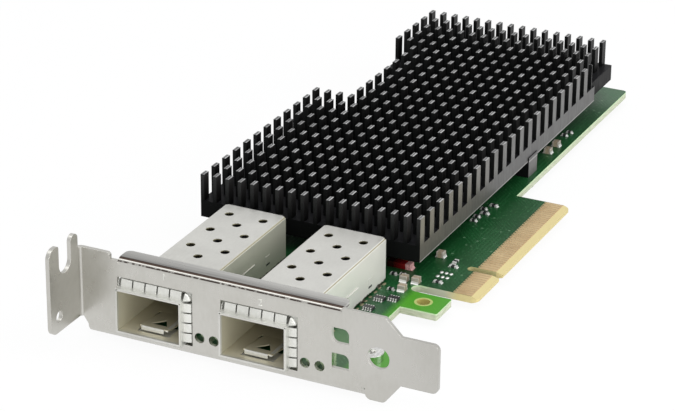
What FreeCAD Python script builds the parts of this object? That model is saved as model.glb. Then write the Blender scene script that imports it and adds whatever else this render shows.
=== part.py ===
import FreeCAD, Part
import math
import os
import Sketcher
from FreeCAD import Vector

# Low-profile network interface card: circuit board with edge connector, two caged
# transceiver ports behind a folded bracket, and a cross-cut pin-fin heatsink.
# Axes: X from the bracket tab to the edge connector, Y from the bracket to the far
# end of the card, Z up from the component side of the board. All lengths in mm.
# Every size is a value of the sheet. Each node is shifted so that the hole in the
# board's foot is the origin.

doc = FreeCAD.newDocument("network_interface_card")
sheet = doc.addObject("Spreadsheet::Sheet", "Sizes")

SIZES = [
    # board outline
    ("board_left", 0.4),
    ("board_right", 54.92),
    ("board_front", 2.6),
    ("board_rear", 167.34),
    ("board_thick", 1.57),
    ("ear_right", 65.2),
    ("ear_rear", 20.0),
    ("foot_front", 35.23),
    ("foot_rear", 42.98),
    ("foot_right", 63.18),
    ("hole_x", 58.4),
    ("hole_y", 39.27),
    ("hole_radius", 1.4),
    # edge connector
    ("key_y", 58.23),
    ("key_width", 1.9),
    ("key_depth", 7.6),
    ("tongue_before_key", 12.15),
    ("tongue_after_key", 39.15),
    ("tongue_right", 67.71),
    ("tongue_corner", 1.0),
    ("foot_corner", 0.4),
    ("bevel_run", 1.5),
    ("bevel_drop", 0.45),
    ("contact_pitch", 1.0),
    ("contact_width", 0.7),
    ("contact_length", 4.2),
    ("contact_inset", 1.55),
    ("contact_thick", 0.04),
    ("contacts_before_key", 11),
    ("contacts_after_key", 38),
    # bracket
    ("sheet_thick", 0.86),
    ("bracket_top", 16.03),
    ("face_bottom", -0.2),
    ("lobe_bottom", -2.4),
    ("bend_radius", 0.5),
    ("hem_radius", 1.4),
    ("hem_left", 1.6),
    ("hem_right", 63.0),
    ("hem_depth", 4.2),
    ("relief_width", 0.7),
    ("relief_top", 0.1),
    ("lobe_width", 4.14),
    ("blade_neck", 3.51),
    ("blade_width", 7.85),
    ("blade_top", 12.55),
    ("blade_bottom", 2.1),
    ("blade_corner", 1.3),
    ("rim_left", 8.8),
    ("rim_right", 58.6),
    ("rim_depth", 4.3),
    ("rim_corner", 1.2),
    ("notch_left", 6.95),
    ("notch_rise", 0.7),
    ("notch_corner", 0.7),
    ("corner_rise", 1.5),
    ("lug_depth", 15.4),
    ("lug_left_start", 1.8),
    ("lug_left_end", 8.4),
    ("lug_right_start", 55.2),
    # bracket tab with its screw slot
    ("tab_bottom", 1.35),
    ("fold_top", 16.75),
    ("tab_reach", 11.55),
    ("outer_prong_top", 20.2),
    ("inner_prong_top", 20.2),
    ("inner_prong_start", 0.6),
    ("slot_near", 3.3),
    ("slot_width", 4.6),
    ("slot_bottom", 13.4),
    ("prong_round", 0.48),
    ("tab_corner_round", 0.55),
    ("slot_mouth_round", 0.2),
    ("tab_hole_y", 8.35),
    ("tab_hole_z", 4.75),
    ("tab_hole_radius", 1.2),
    # openings in the bracket
    ("led_gap", 3.39),
    ("led_spacing", 3.2),
    ("led_height", 2.35),
    ("led_hole_radius", 1.1),
    ("vent_gap", 2.65),
    ("vent_width", 3.7),
    ("vent_height", 3.3),
    ("vent_high", 8.3),
    ("vent_low", 2.75),
    ("round_hole_inset", 1.32),
    ("round_hole_z", 7.05),
    ("round_hole_radius", 2.35),
    # transceiver cages
    ("port_x", 16.5),
    ("port_space", 8.74),
    ("cage_wall", 0.3),
    ("cage_width", 14.68),
    ("cage_floor", 0.45),
    ("cage_top", 9.95),
    ("cage_protrusion", 1.82),
    ("cage_rear", 45.25),
    ("cage_edge_radius", 0.4),
    ("cage_rear_chamfer", 0.7),
    ("cage_hole_radius", 0.98),
    ("cage_hole_x", 4.02),
    ("cage_hole_y", 23.5),
    ("cage_hole_pitch", 8.5),
    ("cage_floor_opening", 29.5),
    ("latch_half", 3.2),
    ("latch_slit", 0.5),
    ("latch_front", 0.2),
    ("latch_length", 9.5),
    ("latch_rise", 1.2),
    ("pin_first", 9.0),
    ("pin_spacing", 8.2),
    ("pin_width", 0.8),
    ("pin_below", 0.6),
    ("pin_shoulder", 1.7),
    ("pin_hole_gap", 0.12),
    # spring collars
    ("collar_thick", 0.16),
    ("collar_front", 1.7),
    ("collar_band", 1.25),
    ("collar_crown", 0.45),
    ("collar_peak_y", 0.35),
    ("collar_rear_y", 3.3),
    ("collar_end_y", 4.6),
    ("collar_reach_top", 1.85),
    ("collar_reach_right", 1.7),
    ("collar_reach_left", 0.42),
    ("cutout_gap", 0.12),
    ("cutout_bottom", 0.15),
    ("finger_gap", 0.32),
    ("finger_end_gap", 0.5),
    # connectors inside the cages
    ("socket_width", 11.2),
    ("socket_front", 31.0),
    ("socket_rear", 42.6),
    ("socket_height", 8.0),
    ("socket_mouth_width", 9.4),
    ("socket_mouth_height", 2.0),
    ("socket_mouth_bottom", 3.6),
    ("socket_mouth_depth", 6.0),
    ("socket_chamfer", 0.8),
    # heatsink
    ("sink_left", 1.2),
    ("sink_right", 53.21),
    ("sink_front", 48.6),
    ("sink_rear", 163.55),
    ("sink_bottom", 3.82),
    ("sink_floor", 7.62),
    ("pin_top", 13.76),
    ("fin_x", 0.85),
    ("fin_y", 2.15),
    ("notch_shelf", 4.58),
    ("rear_step_depth", 14.55),
    ("rear_step_inset", 1.26),
    ("pedestal_half", 12.0),
    ("leg_side", 5.0),
    ("leg_a_x", 50.96),
    ("leg_a_y", 110.3),
    ("leg_b_x", 41.5),
    ("leg_b_y", 58.0),
    ("leg_c_x", 8.2),
    ("leg_c_y", 58.0),
    ("leg_d_x", 15.0),
    ("leg_d_y", 116.0),
    # controller under the heatsink
    ("chip_x", 27.5),
    ("chip_y", 84.0),
    ("chip_half", 12.5),
    ("ball_height", 0.5),
    ("substrate_thick", 1.1),
    ("lid_half", 10.5),
    ("lid_thick", 1.3),
    ("lid_chamfer", 0.5),
    ("pad_half", 10.0),
    ("pad_thick", 0.4),
    # screws
    ("screw_radius", 1.4),
    ("screw_gap", 0.1),
    ("screw_head_radius", 2.75),
    ("screw_head_height", 1.6),
    ("screw_below", 0.4),
    ("screw_left_x", 5.0),
    ("screw_left_y", 9.0),
    ("screw_right_x", 59.4),
    ("screw_right_y", 11.6),
    ("sink_screw_depth", 2.8),
    ("drive_radius", 1.2),
    ("drive_depth", 0.8),
    # status lights behind the bracket
    ("light_half", 0.95),
    ("light_front", 3.2),
    ("light_rear", 5.6),
    ("light_top", 3.6),
    ("lens_radius", 0.85),
    ("lens_length", 1.2),
    # parts on the board
    ("leg_blend", 1.0),
    ("parts_gap", 0.1),
    ("mlcc_long", 1.6),
    ("mlcc_wide", 1.5),
    ("mlcc_tall", 1.3),
    ("resistor_long", 1.2),
    ("resistor_wide", 0.8),
    ("resistor_tall", 0.5),
    ("array_long", 2.2),
    ("array_wide", 1.6),
    ("array_tall", 0.6),
    ("pad_long", 1.0),
    ("pad_wide", 1.4),
    ("pad_tall", 0.05),
    ("fuse_long", 5.4),
    ("fuse_wide", 1.8),
    ("fuse_tall", 1.3),
    ("inductor_side", 6.4),
    ("inductor_tall", 3.0),
    ("tank_wide", 2.6),
    ("tank_long", 3.6),
    ("tank_tall", 2.0),
    ("lead_rise", 0.15),
    ("lead_reach", 1.0),
    ("lead_wide", 0.42),
    ("flash_half_x", 1.95),
    ("flash_half_y", 2.45),
    ("flash_tall", 1.5),
    ("flash_pitch", 1.27),
    ("crystal_long", 3.2),
    ("crystal_wide", 2.5),
    ("crystal_tall", 0.8),
]
for row, (name, value) in enumerate(SIZES):
    sheet.set("A%d" % (row + 1), name)
    sheet.set("B%d" % (row + 1), repr(value))
    sheet.setAlias("B%d" % (row + 1), name)
doc.recompute()
VALUES = dict(SIZES)


def bind(expression):
    """Write the sheet's name in front of each size of an expression."""
    words = []
    word = ""
    for letter in str(expression) + " ":
        if letter.isalnum() or letter == "_":
            word += letter
        else:
            words.append("Sizes." + word if word in VALUES else word)
            words.append(letter)
            word = ""
    return "".join(words).strip()


def drive(item, **sizes):
    """Bind properties of an object to expressions over the sheet."""
    for key, expression in sizes.items():
        item.setExpression(key.replace("__", "."), bind(expression))
    return item


def place(item, x=None, y=None, z=None):
    """Bind an object's position."""
    for axis, expression in (("x", x), ("y", y), ("z", z)):
        if expression is not None:
            item.setExpression("Placement.Base." + axis, bind(expression))
    return item


# ---------------------------------------------------------------- solid primitives

def box(name, x0, y0, z0, x1, y1, z1):
    """A block between two corners, each given as expressions."""
    item = doc.addObject("Part::Box", name)
    drive(item, Length="(%s) - (%s)" % (x1, x0), Width="(%s) - (%s)" % (y1, y0),
          Height="(%s) - (%s)" % (z1, z0))
    return place(item, x0, y0, z0)


def rod(name, x, y, z0, z1, radius):
    """An upright cylinder."""
    item = doc.addObject("Part::Cylinder", name)
    drive(item, Radius=radius, Height="(%s) - (%s)" % (z1, z0))
    return place(item, x, y, z0)


def six_sided(name, x, y, z0, z1, radius):
    """An upright six-sided prism, as a hexagon key fills."""
    item = doc.addObject("Part::Prism", name)
    item.Polygon = 6
    drive(item, Circumradius=radius, Height="(%s) - (%s)" % (z1, z0))
    return place(item, x, y, z0)


def fuse(name, parts):
    item = doc.addObject("Part::MultiFuse", name)
    item.Shapes = parts
    item.Refine = True
    return item


def cut(name, base, tool):
    item = doc.addObject("Part::Cut", name)
    item.Base = base
    item.Tool = tool
    item.Refine = True
    return item


def group(name, parts):
    """Like pieces that share one node."""
    item = doc.addObject("Part::Compound", name)
    item.Links = parts
    return item


# ---------------------------------------------------------------- bodies and sketches

def new_body(name):
    return doc.addObject("PartDesign::Body", name)


def plane_of(body, role):
    for feature in body.Origin.OriginFeatures:
        if feature.Role == role:
            return feature
    raise RuntimeError("no plane " + role)


def new_sketch(body, name, role, offset="0"):
    """A sketch on one of the body's own planes, moved along its normal."""
    sketch = body.newObject("Sketcher::SketchObject", name)
    sketch.AttachmentSupport = [(plane_of(body, role), "")]
    sketch.MapMode = "FlatFace"
    sketch.setExpression("AttachmentOffset.Base.z", bind(offset))
    return sketch


def pin_point(sketch, line, end, u, v):
    """Fix a sketch point at two expressions."""
    for kind, expression in (("DistanceX", u), ("DistanceY", v)):
        start = FreeCAD.Vector(sketch.getPoint(line, end))
        held = start.x if kind == "DistanceX" else start.y
        index = sketch.addConstraint(Sketcher.Constraint(kind, -1, 1, line, end, held))
        sketch.setExpression("Constraints[%d]" % index, bind(expression))


def number(expression):
    """The present value of an expression, to draw a sketch near its final form."""
    item = doc.getObject("Scratch")
    if item is None:
        item = doc.addObject("App::FeaturePython", "Scratch")
        item.addProperty("App::PropertyFloat", "Number")
    return float(item.evalExpression(bind(expression)))


def polygon(sketch, corners):
    """A closed outline whose corners are held by expressions."""
    points = [Vector(number(u), number(v), 0) for u, v in corners]
    first = sketch.GeometryCount
    total = len(points)
    for index in range(total):
        sketch.addGeometry(Part.LineSegment(points[index], points[(index + 1) % total]))
    for index in range(total):
        here = first + index
        after = first + (index + 1) % total
        sketch.addConstraint(Sketcher.Constraint("Coincident", here, 2, after, 1))
    for index, (u, v) in enumerate(corners):
        pin_point(sketch, first + index, 1, u, v)


def rectangle(sketch, u0, v0, u1, v1):
    polygon(sketch, [(u0, v0), (u1, v0), (u1, v1), (u0, v1)])


def circle(sketch, u, v, radius):
    centre = Vector(number(u), number(v), 0)
    line = sketch.addGeometry(Part.Circle(centre, Vector(0, 0, 1), number(radius)))
    index = sketch.addConstraint(Sketcher.Constraint("Radius", line, number(radius)))
    sketch.setExpression("Constraints[%d]" % index, bind(radius))
    pin_point(sketch, line, 3, u, v)


def pad(body, sketch, length, middle=False, back=False):
    item = body.newObject("PartDesign::Pad", sketch.Name + "_pad")
    item.Profile = sketch
    item.Midplane = middle
    item.Reversed = back
    item.setExpression("Length", bind(length))
    item.Refine = True
    sketch.Visibility = False
    return item


def pocket(body, sketch, length, middle=True, back=False):
    """A cut that lies evenly about its sketch, so its direction is certain."""
    item = body.newObject("PartDesign::Pocket", sketch.Name + "_cut")
    item.Profile = sketch
    item.Midplane = middle
    item.Reversed = back
    item.setExpression("Length", bind(length))
    item.Refine = True
    sketch.Visibility = False
    return item


def repeat(body, feature, sketch, axis, step, count):
    """A row of one feature along a sketch axis."""
    item = body.newObject("PartDesign::LinearPattern", feature.Name + "_row")
    item.Originals = [feature]
    item.Direction = (sketch, [axis])
    item.Mode = "Spacing"
    item.setExpression("Offset", bind(step))
    item.Occurrences = count
    item.Refine = True
    body.Tip = item
    return item


def edges_where(feature, test):
    """Names of the edges of a feature whose ends both pass a test."""
    names = []
    for index, edge in enumerate(feature.Shape.Edges):
        if test(edge):
            names.append("Edge%d" % (index + 1))
    return names


def upright_at(x, y, slack=0.01):
    def test(edge):
        ends = [vertex.Point for vertex in edge.Vertexes]
        if len(ends) < 2:
            return False
        near = [abs(end.x - x) < slack and abs(end.y - y) < slack for end in ends]
        return all(near) and abs(ends[0].z - ends[1].z) > slack
    return test


def rounded(body, base, tests, radius):
    """Round the edges that pass any of the tests."""
    doc.recompute()
    names = []
    for test in tests:
        names += edges_where(base, test)
    item = body.newObject("PartDesign::Fillet", base.Name + "_round")
    item.Base = (base, names)
    item.setExpression("Radius", bind(radius))
    return item


def bevelled(body, base, tests, size):
    doc.recompute()
    names = []
    for test in tests:
        names += edges_where(base, test)
    item = body.newObject("PartDesign::Chamfer", base.Name + "_bevel")
    item.Base = (base, names)
    item.setExpression("Size", bind(size))
    return item


NODES = []


def node(item, name):
    """Name a finished piece and move it so that the foot's hole is the origin."""
    item.Label = name
    place(item, "-hole_x", "-hole_y", "0")
    NODES.append(item)
    return item


# ---------------------------------------------------------------- circuit board

TONGUE_FRONT = "(key_y - tongue_before_key)"
TONGUE_REAR = "(key_y + tongue_after_key)"
SLOT_RADIUS = "((key_y - tongue_before_key - foot_rear) / 2)"
LEGS = [("leg_a_x", "leg_a_y"), ("leg_b_x", "leg_b_y"), ("leg_c_x", "leg_c_y"),
        ("leg_d_x", "leg_d_y")]
BRACKET_SCREWS = [("screw_left_x", "screw_left_y"), ("screw_right_x", "screw_right_y")]
PIN_COUNT = 5
TOP_FINGERS = 5
SIDE_FINGERS = 4
PORT_PITCH = "(cage_width + port_space)"
CAGE_SIDE = "(port_x + %s + cage_width / 2)" % PORT_PITCH


def port_place(index):
    """Middle of a port across the card."""
    return "(port_x + %d * %s)" % (index, PORT_PITCH)


def light_place(index, step):
    """Middle of a status light to the right of a port."""
    return "(%s + cage_width / 2 + led_gap + %d * led_spacing)" % (port_place(index), step)


VENT_LEFT = "(%s + vent_gap)" % light_place(1, 1)

board = new_body("circuit_board_body")
outline = new_sketch(board, "board_outline", "XY_Plane", "-board_thick")
polygon(outline, [
    ("board_left", "board_front"), ("ear_right", "board_front"),
    ("ear_right", "ear_rear"), ("board_right", "ear_rear"),
    ("board_right", "foot_front"), ("foot_right", "foot_front"),
    ("foot_right", "foot_rear"), ("board_right", "foot_rear"),
    ("board_right", TONGUE_FRONT), ("tongue_right", TONGUE_FRONT),
    ("tongue_right", TONGUE_REAR), ("board_right", TONGUE_REAR),
    ("board_right", "board_rear"), ("board_left", "board_rear")])
board_pad = pad(board, outline, "board_thick")
board_round = rounded(board, board_pad, [
    upright_at(VALUES["tongue_right"], VALUES["key_y"] - VALUES["tongue_before_key"]),
    upright_at(VALUES["tongue_right"], VALUES["key_y"] + VALUES["tongue_after_key"]),
    upright_at(VALUES["ear_right"], VALUES["ear_rear"]),
    upright_at(VALUES["board_left"], VALUES["board_rear"]),
    upright_at(VALUES["board_right"], VALUES["board_rear"])], "tongue_corner")
rounded(board, board_round, [
    upright_at(VALUES["foot_right"], VALUES["foot_front"]),
    upright_at(VALUES["foot_right"], VALUES["foot_rear"])], "foot_corner")

# polarising key: a straight cut with a round end, then the plated and clearance holes
key = new_sketch(board, "key_cut", "XY_Plane", "-board_thick / 2")
rectangle(key, "tongue_right - key_depth + key_width / 2", "key_y - key_width / 2",
          "tongue_right + key_width", "key_y + key_width / 2")
pocket(board, key, "2 * board_thick")
holes = new_sketch(board, "board_holes", "XY_Plane", "-board_thick / 2")
circle(holes, "tongue_right - key_depth + key_width / 2", "key_y", "key_width / 2")
circle(holes, "board_right", TONGUE_FRONT + " - " + SLOT_RADIUS, SLOT_RADIUS)
circle(holes, "hole_x", "hole_y", "hole_radius")
for x, y in LEGS + BRACKET_SCREWS:
    circle(holes, x, y, "screw_radius + screw_gap")
pocket(board, holes, "2 * board_thick")

# rows of holes for the cages' press-in pins
for index in range(2):
    for side in (-1, 1):
        name = "pin_holes_%d_%s" % (index + 1, "left" if side < 0 else "right")
        row = new_sketch(board, name, "XY_Plane", "-board_thick / 2")
        x = port_place(index) + " + %d * (cage_width - cage_wall) / 2" % side
        rectangle(row, x + " - pin_width / 2", "pin_first - pin_width / 2 - pin_hole_gap",
                  x + " + pin_width / 2", "pin_first + pin_width / 2 + pin_hole_gap")
        first = pocket(board, row, "2 * board_thick")
        repeat(board, first, row, "V_Axis", "pin_spacing", PIN_COUNT)

# both faces of the tongue slope away at its free edge
slope = new_sketch(board, "tongue_slope", "XZ_Plane",
                   "-(key_y + (tongue_after_key - tongue_before_key) / 2)")
polygon(slope, [("tongue_right - bevel_run", "0"), ("tongue_right + bevel_run", "-2 * bevel_drop"),
                ("tongue_right + bevel_run", "0")])
polygon(slope, [("tongue_right - bevel_run", "-board_thick"),
                ("tongue_right + bevel_run", "-board_thick"),
                ("tongue_right + bevel_run", "-board_thick + 2 * bevel_drop")])
pocket(board, slope, "tongue_before_key + tongue_after_key + bevel_run")
node(board, "circuit_board")

# ---------------------------------------------------------------- edge contacts

contacts = []
for face, bottom, top in (("upper", "0", "contact_thick"),
                          ("lower", "-board_thick - contact_thick", "-board_thick")):
    start = -VALUES["contacts_before_key"]
    for step in range(start, VALUES["contacts_after_key"]):
        away = "(%d - 0.5)" % step if step < 0 else "(%d + 1.5)" % step
        middle = "key_y + %s * contact_pitch" % away
        contacts.append(box(
            "contact_%s_%d" % (face, step - start + 1),
            "tongue_right - contact_inset - contact_length",
            middle + " - contact_width / 2", bottom,
            "tongue_right - contact_inset", middle + " + contact_width / 2", top))
node(group("edge_contacts_group", contacts), "edge_contacts")

# ---------------------------------------------------------------- bracket

RIM_OUTER = "(bend_radius + sheet_thick)"
NOTCH_BOTTOM = "(bracket_top - %s + notch_rise)" % RIM_OUTER
RELIEF_RIGHT = "(hem_right + relief_width)"
LOBE_RIGHT = "(%s + lobe_width)" % RELIEF_RIGHT
BLADE_LEFT = "(%s + blade_neck)" % LOBE_RIGHT
BLADE_RIGHT = "(%s + blade_width)" % BLADE_LEFT
HEM_OUTER = "(hem_radius + sheet_thick)"
HEM_BOTTOM = "(-board_thick - sheet_thick)"
HEM_CENTRE = "(hem_radius - board_thick)"

bracket = new_body("bracket_body")
face = new_sketch(bracket, "face_outline", "XZ_Plane", "-sheet_thick / 2")
polygon(face, [
    ("bend_radius", "corner_rise"), ("hem_left", HEM_CENTRE),
    (RELIEF_RIGHT, HEM_CENTRE), (RELIEF_RIGHT, "lobe_bottom"),
    (LOBE_RIGHT, "lobe_bottom"), (BLADE_LEFT, "blade_bottom"),
    (BLADE_RIGHT, "blade_bottom"), (BLADE_RIGHT, "blade_top"),
    (BLADE_LEFT, "blade_top"), (LOBE_RIGHT, "bracket_top"),
    ("rim_right", "bracket_top"), ("rim_right", "bracket_top - " + RIM_OUTER),
    ("rim_left", "bracket_top - " + RIM_OUTER), ("rim_left", NOTCH_BOTTOM),
    ("notch_left", NOTCH_BOTTOM), ("notch_left", "fold_top"),
    ("bend_radius", "fold_top")])
face_pad = pad(bracket, face, "sheet_thick", middle=True)

# tab: folded forward from the face's left end, first as a full height strip
fold = new_sketch(bracket, "tab_fold", "XY_Plane", "tab_bottom")
fold_line = [
    ("0 * sheet_thick", "-tab_reach"), ("0 * sheet_thick", "-bend_radius"),
    ("bend_radius * 0.2929", "-bend_radius * 0.2929"), ("bend_radius", "0"),
    ("bend_radius", "sheet_thick"),
    ("bend_radius - " + RIM_OUTER + " * 0.3827", "-bend_radius + " + RIM_OUTER + " * 0.9239"),
    ("bend_radius - " + RIM_OUTER + " * 0.7071", "-bend_radius + " + RIM_OUTER + " * 0.7071"),
    ("bend_radius - " + RIM_OUTER + " * 0.9239", "-bend_radius + " + RIM_OUTER + " * 0.3827"),
    ("-sheet_thick", "-bend_radius"), ("-sheet_thick", "-tab_reach")]
polygon(fold, fold_line)
pad(bracket, fold, "outer_prong_top - tab_bottom")

# the tab's outline: fold shoulder, two prongs, slot between them
shoulder = new_sketch(bracket, "tab_shoulder", "YZ_Plane", "0")
rectangle(shoulder, "-inner_prong_start", "fold_top", "3 * sheet_thick", "outer_prong_top + sheet_thick")
pocket(bracket, shoulder, "4 * sheet_thick")
slot = new_sketch(bracket, "tab_slot", "YZ_Plane", "0")
rectangle(slot, "-slot_near - slot_width", "slot_bottom + slot_width / 2",
          "-slot_near", "outer_prong_top + sheet_thick")
pocket(bracket, slot, "4 * sheet_thick")
slot_end = new_sketch(bracket, "tab_slot_end", "YZ_Plane", "0")
circle(slot_end, "-slot_near - slot_width / 2", "slot_bottom + slot_width / 2", "slot_width / 2")
circle(slot_end, "-tab_hole_y", "tab_hole_z", "tab_hole_radius")
tab_end = pocket(bracket, slot_end, "4 * sheet_thick")


def along_x(y, z, slack=0.02):
    def test(edge):
        ends = [vertex.Point for vertex in edge.Vertexes]
        if len(ends) < 2:
            return False
        near = [abs(end.y - y) < slack and abs(end.z - z) < slack for end in ends]
        return all(near) and abs(ends[0].x - ends[1].x) > slack
    return test


OUTER_PRONG = "(tab_reach - slot_near - slot_width)"
prong_tip = rounded(bracket, tab_end, [
    along_x(-VALUES["slot_near"], VALUES["outer_prong_top"]),
    along_x(-VALUES["inner_prong_start"], VALUES["outer_prong_top"])],
    "(slot_near - inner_prong_start) * prong_round")
slot_mouth = rounded(bracket, prong_tip, [
    along_x(-VALUES["slot_near"] - VALUES["slot_width"], VALUES["outer_prong_top"])],
    OUTER_PRONG + " * slot_mouth_round")
tab_round = rounded(bracket, slot_mouth, [
    along_x(-VALUES["tab_reach"], VALUES["outer_prong_top"]),
    along_x(-VALUES["tab_reach"], VALUES["tab_bottom"])],
    OUTER_PRONG + " * tab_corner_round")

# hem: rolled backwards under the board's front edge, with two screw lugs
hem = new_sketch(bracket, "hem_section", "YZ_Plane", "(hem_left + hem_right) / 2")
polygon(hem, [
    ("0 * sheet_thick", HEM_CENTRE), ("sheet_thick", HEM_CENTRE),
    (HEM_OUTER + " - hem_radius * 0.9239", HEM_CENTRE + " - hem_radius * 0.3827"),
    (HEM_OUTER + " - hem_radius * 0.7071", HEM_CENTRE + " - hem_radius * 0.7071"),
    (HEM_OUTER + " - hem_radius * 0.3827", HEM_CENTRE + " - hem_radius * 0.9239"),
    (HEM_OUTER, "-board_thick"), ("hem_depth", "-board_thick"),
    ("hem_depth", HEM_BOTTOM), (HEM_OUTER, HEM_BOTTOM),
    (HEM_OUTER + " * (1 - 0.3827)", HEM_CENTRE + " - " + HEM_OUTER + " * 0.9239"),
    (HEM_OUTER + " * (1 - 0.7071)", HEM_CENTRE + " - " + HEM_OUTER + " * 0.7071"),
    (HEM_OUTER + " * (1 - 0.9239)", HEM_CENTRE + " - " + HEM_OUTER + " * 0.3827")])
pad(bracket, hem, "hem_right - hem_left", middle=True)
lugs = new_sketch(bracket, "lug_outline", "XY_Plane", HEM_BOTTOM + " + sheet_thick / 2")
rectangle(lugs, "lug_left_start", "hem_depth - sheet_thick", "lug_left_end", "screw_left_y + screw_head_radius")
rectangle(lugs, "lug_right_start", "hem_depth - sheet_thick", "hem_right", "lug_depth")
pad(bracket, lugs, "sheet_thick", middle=True)
lug_holes = new_sketch(bracket, "lug_holes", "XY_Plane", HEM_BOTTOM + " + sheet_thick / 2")
for x, y in BRACKET_SCREWS:
    circle(lug_holes, x, y, "screw_radius + screw_gap / 2")
pocket(bracket, lug_holes, "2 * sheet_thick")

# rim: the top edge bent backwards over the cages
rim = new_sketch(bracket, "rim_section", "YZ_Plane", "(rim_left + rim_right) / 2")
polygon(rim, [
    ("0 * sheet_thick", "bracket_top - " + RIM_OUTER),
    (RIM_OUTER + " * (1 - 0.9239)", "bracket_top - " + RIM_OUTER + " * (1 - 0.3827)"),
    (RIM_OUTER + " * (1 - 0.7071)", "bracket_top - " + RIM_OUTER + " * (1 - 0.7071)"),
    (RIM_OUTER + " * (1 - 0.3827)", "bracket_top - " + RIM_OUTER + " * (1 - 0.9239)"),
    (RIM_OUTER, "bracket_top"), ("rim_depth", "bracket_top"),
    ("rim_depth", "bracket_top - sheet_thick"), (RIM_OUTER, "bracket_top - sheet_thick"),
    (RIM_OUTER + " - bend_radius * 0.7071", "bracket_top - " + RIM_OUTER + " + bend_radius * 0.7071"),
    ("sheet_thick", "bracket_top - " + RIM_OUTER)])
pad(bracket, rim, "rim_right - rim_left", middle=True)

# openings of the face: ports, light holes, vents, round hole
ports = new_sketch(bracket, "port_cutouts", "XZ_Plane", "-sheet_thick / 2")
for index in range(2):
    middle = port_place(index)
    rectangle(ports, middle + " - cage_width / 2 - collar_reach_left - cutout_gap", "cutout_bottom",
              middle + " + cage_width / 2 + collar_reach_right + cutout_gap",
              "cage_top + collar_reach_top + cutout_gap")
    for step in range(2):
        circle(ports, light_place(index, step), "led_height", "led_hole_radius")
for low in ("vent_high", "vent_low"):
    rectangle(ports, VENT_LEFT, low, VENT_LEFT + " + vent_width", low + " + vent_height")
circle(ports, LOBE_RIGHT + " - round_hole_inset", "round_hole_z", "round_hole_radius")
openings = pocket(bracket, ports, "2 * sheet_thick")


def through_at(x, z, slack=0.02):
    def test(edge):
        ends = [vertex.Point for vertex in edge.Vertexes]
        if len(ends) < 2:
            return False
        near = [abs(end.x - x) < slack and abs(end.z - z) < slack for end in ends]
        short = abs(ends[0].y - ends[1].y)
        return all(near) and slack < short < 2 * VALUES["sheet_thick"]
    return test


bracket_round = rounded(bracket, openings, [
    through_at(number(BLADE_RIGHT), VALUES["blade_top"]),
    through_at(number(BLADE_RIGHT), VALUES["blade_bottom"]),
    through_at(number(RELIEF_RIGHT), VALUES["lobe_bottom"]),
    through_at(number(LOBE_RIGHT), VALUES["lobe_bottom"]),
    through_at(number(VENT_LEFT + " + vent_width"), VALUES["vent_high"] + VALUES["vent_height"]),
    through_at(number(VENT_LEFT), VALUES["vent_high"]),
    through_at(number(VENT_LEFT + " + vent_width"), VALUES["vent_low"] + VALUES["vent_height"])],
    "blade_corner")
notch_round = rounded(bracket, bracket_round, [
    through_at(VALUES["notch_left"], VALUES["fold_top"])], "notch_corner")
rim_round = rounded(bracket, notch_round, [
    upright_at(VALUES["rim_left"], VALUES["rim_depth"]),
    upright_at(VALUES["rim_right"], VALUES["rim_depth"])], "rim_corner")
node(bracket, "bracket")

# ---------------------------------------------------------------- screws

def pan_screw(name, x, y, head_low, head_high, shank_low, shank_high):
    """A pan head with a drive recess on the side away from its shank."""
    head = rod(name + "_head", x, y, head_low, head_high, "screw_head_radius")
    shank = rod(name + "_shank", x, y, shank_low, shank_high, "screw_radius")
    if number(head_low) > number(shank_low):
        recess = six_sided(name + "_recess", x, y, head_high + " - drive_depth", head_high, "drive_radius")
    else:
        recess = six_sided(name + "_recess", x, y, head_low, head_low + " + drive_depth", "drive_radius")
    return cut(name, fuse(name + "_blank", [head, shank]), recess)


bracket_screws = []
for index, (x, y) in enumerate(BRACKET_SCREWS):
    bracket_screws.append(pan_screw(
        "bracket_screw_%d" % (index + 1), x, y, "0 * screw_radius", "screw_head_height",
        HEM_BOTTOM + " - screw_below", "0 * screw_radius"))
node(group("bracket_screws_group", bracket_screws), "bracket_screws")

sink_screws = []
for index, (x, y) in enumerate(LEGS):
    sink_screws.append(pan_screw(
        "sink_screw_%d" % (index + 1), x, y, "-board_thick - screw_head_height", "-board_thick",
        "-board_thick", "sink_screw_depth"))
node(group("heatsink_screws_group", sink_screws), "heatsink_screws")

# ---------------------------------------------------------------- cages and collars


def roof_edge(z, front, slack=0.01):
    """Edges of the roof except the one at the open front."""
    def test(edge):
        ends = [vertex.Point for vertex in edge.Vertexes]
        if len(ends) < 2:
            return False
        level = all(abs(end.z - z) < slack for end in ends)
        return level and not all(abs(end.y - front) < slack for end in ends)
    return test


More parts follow.
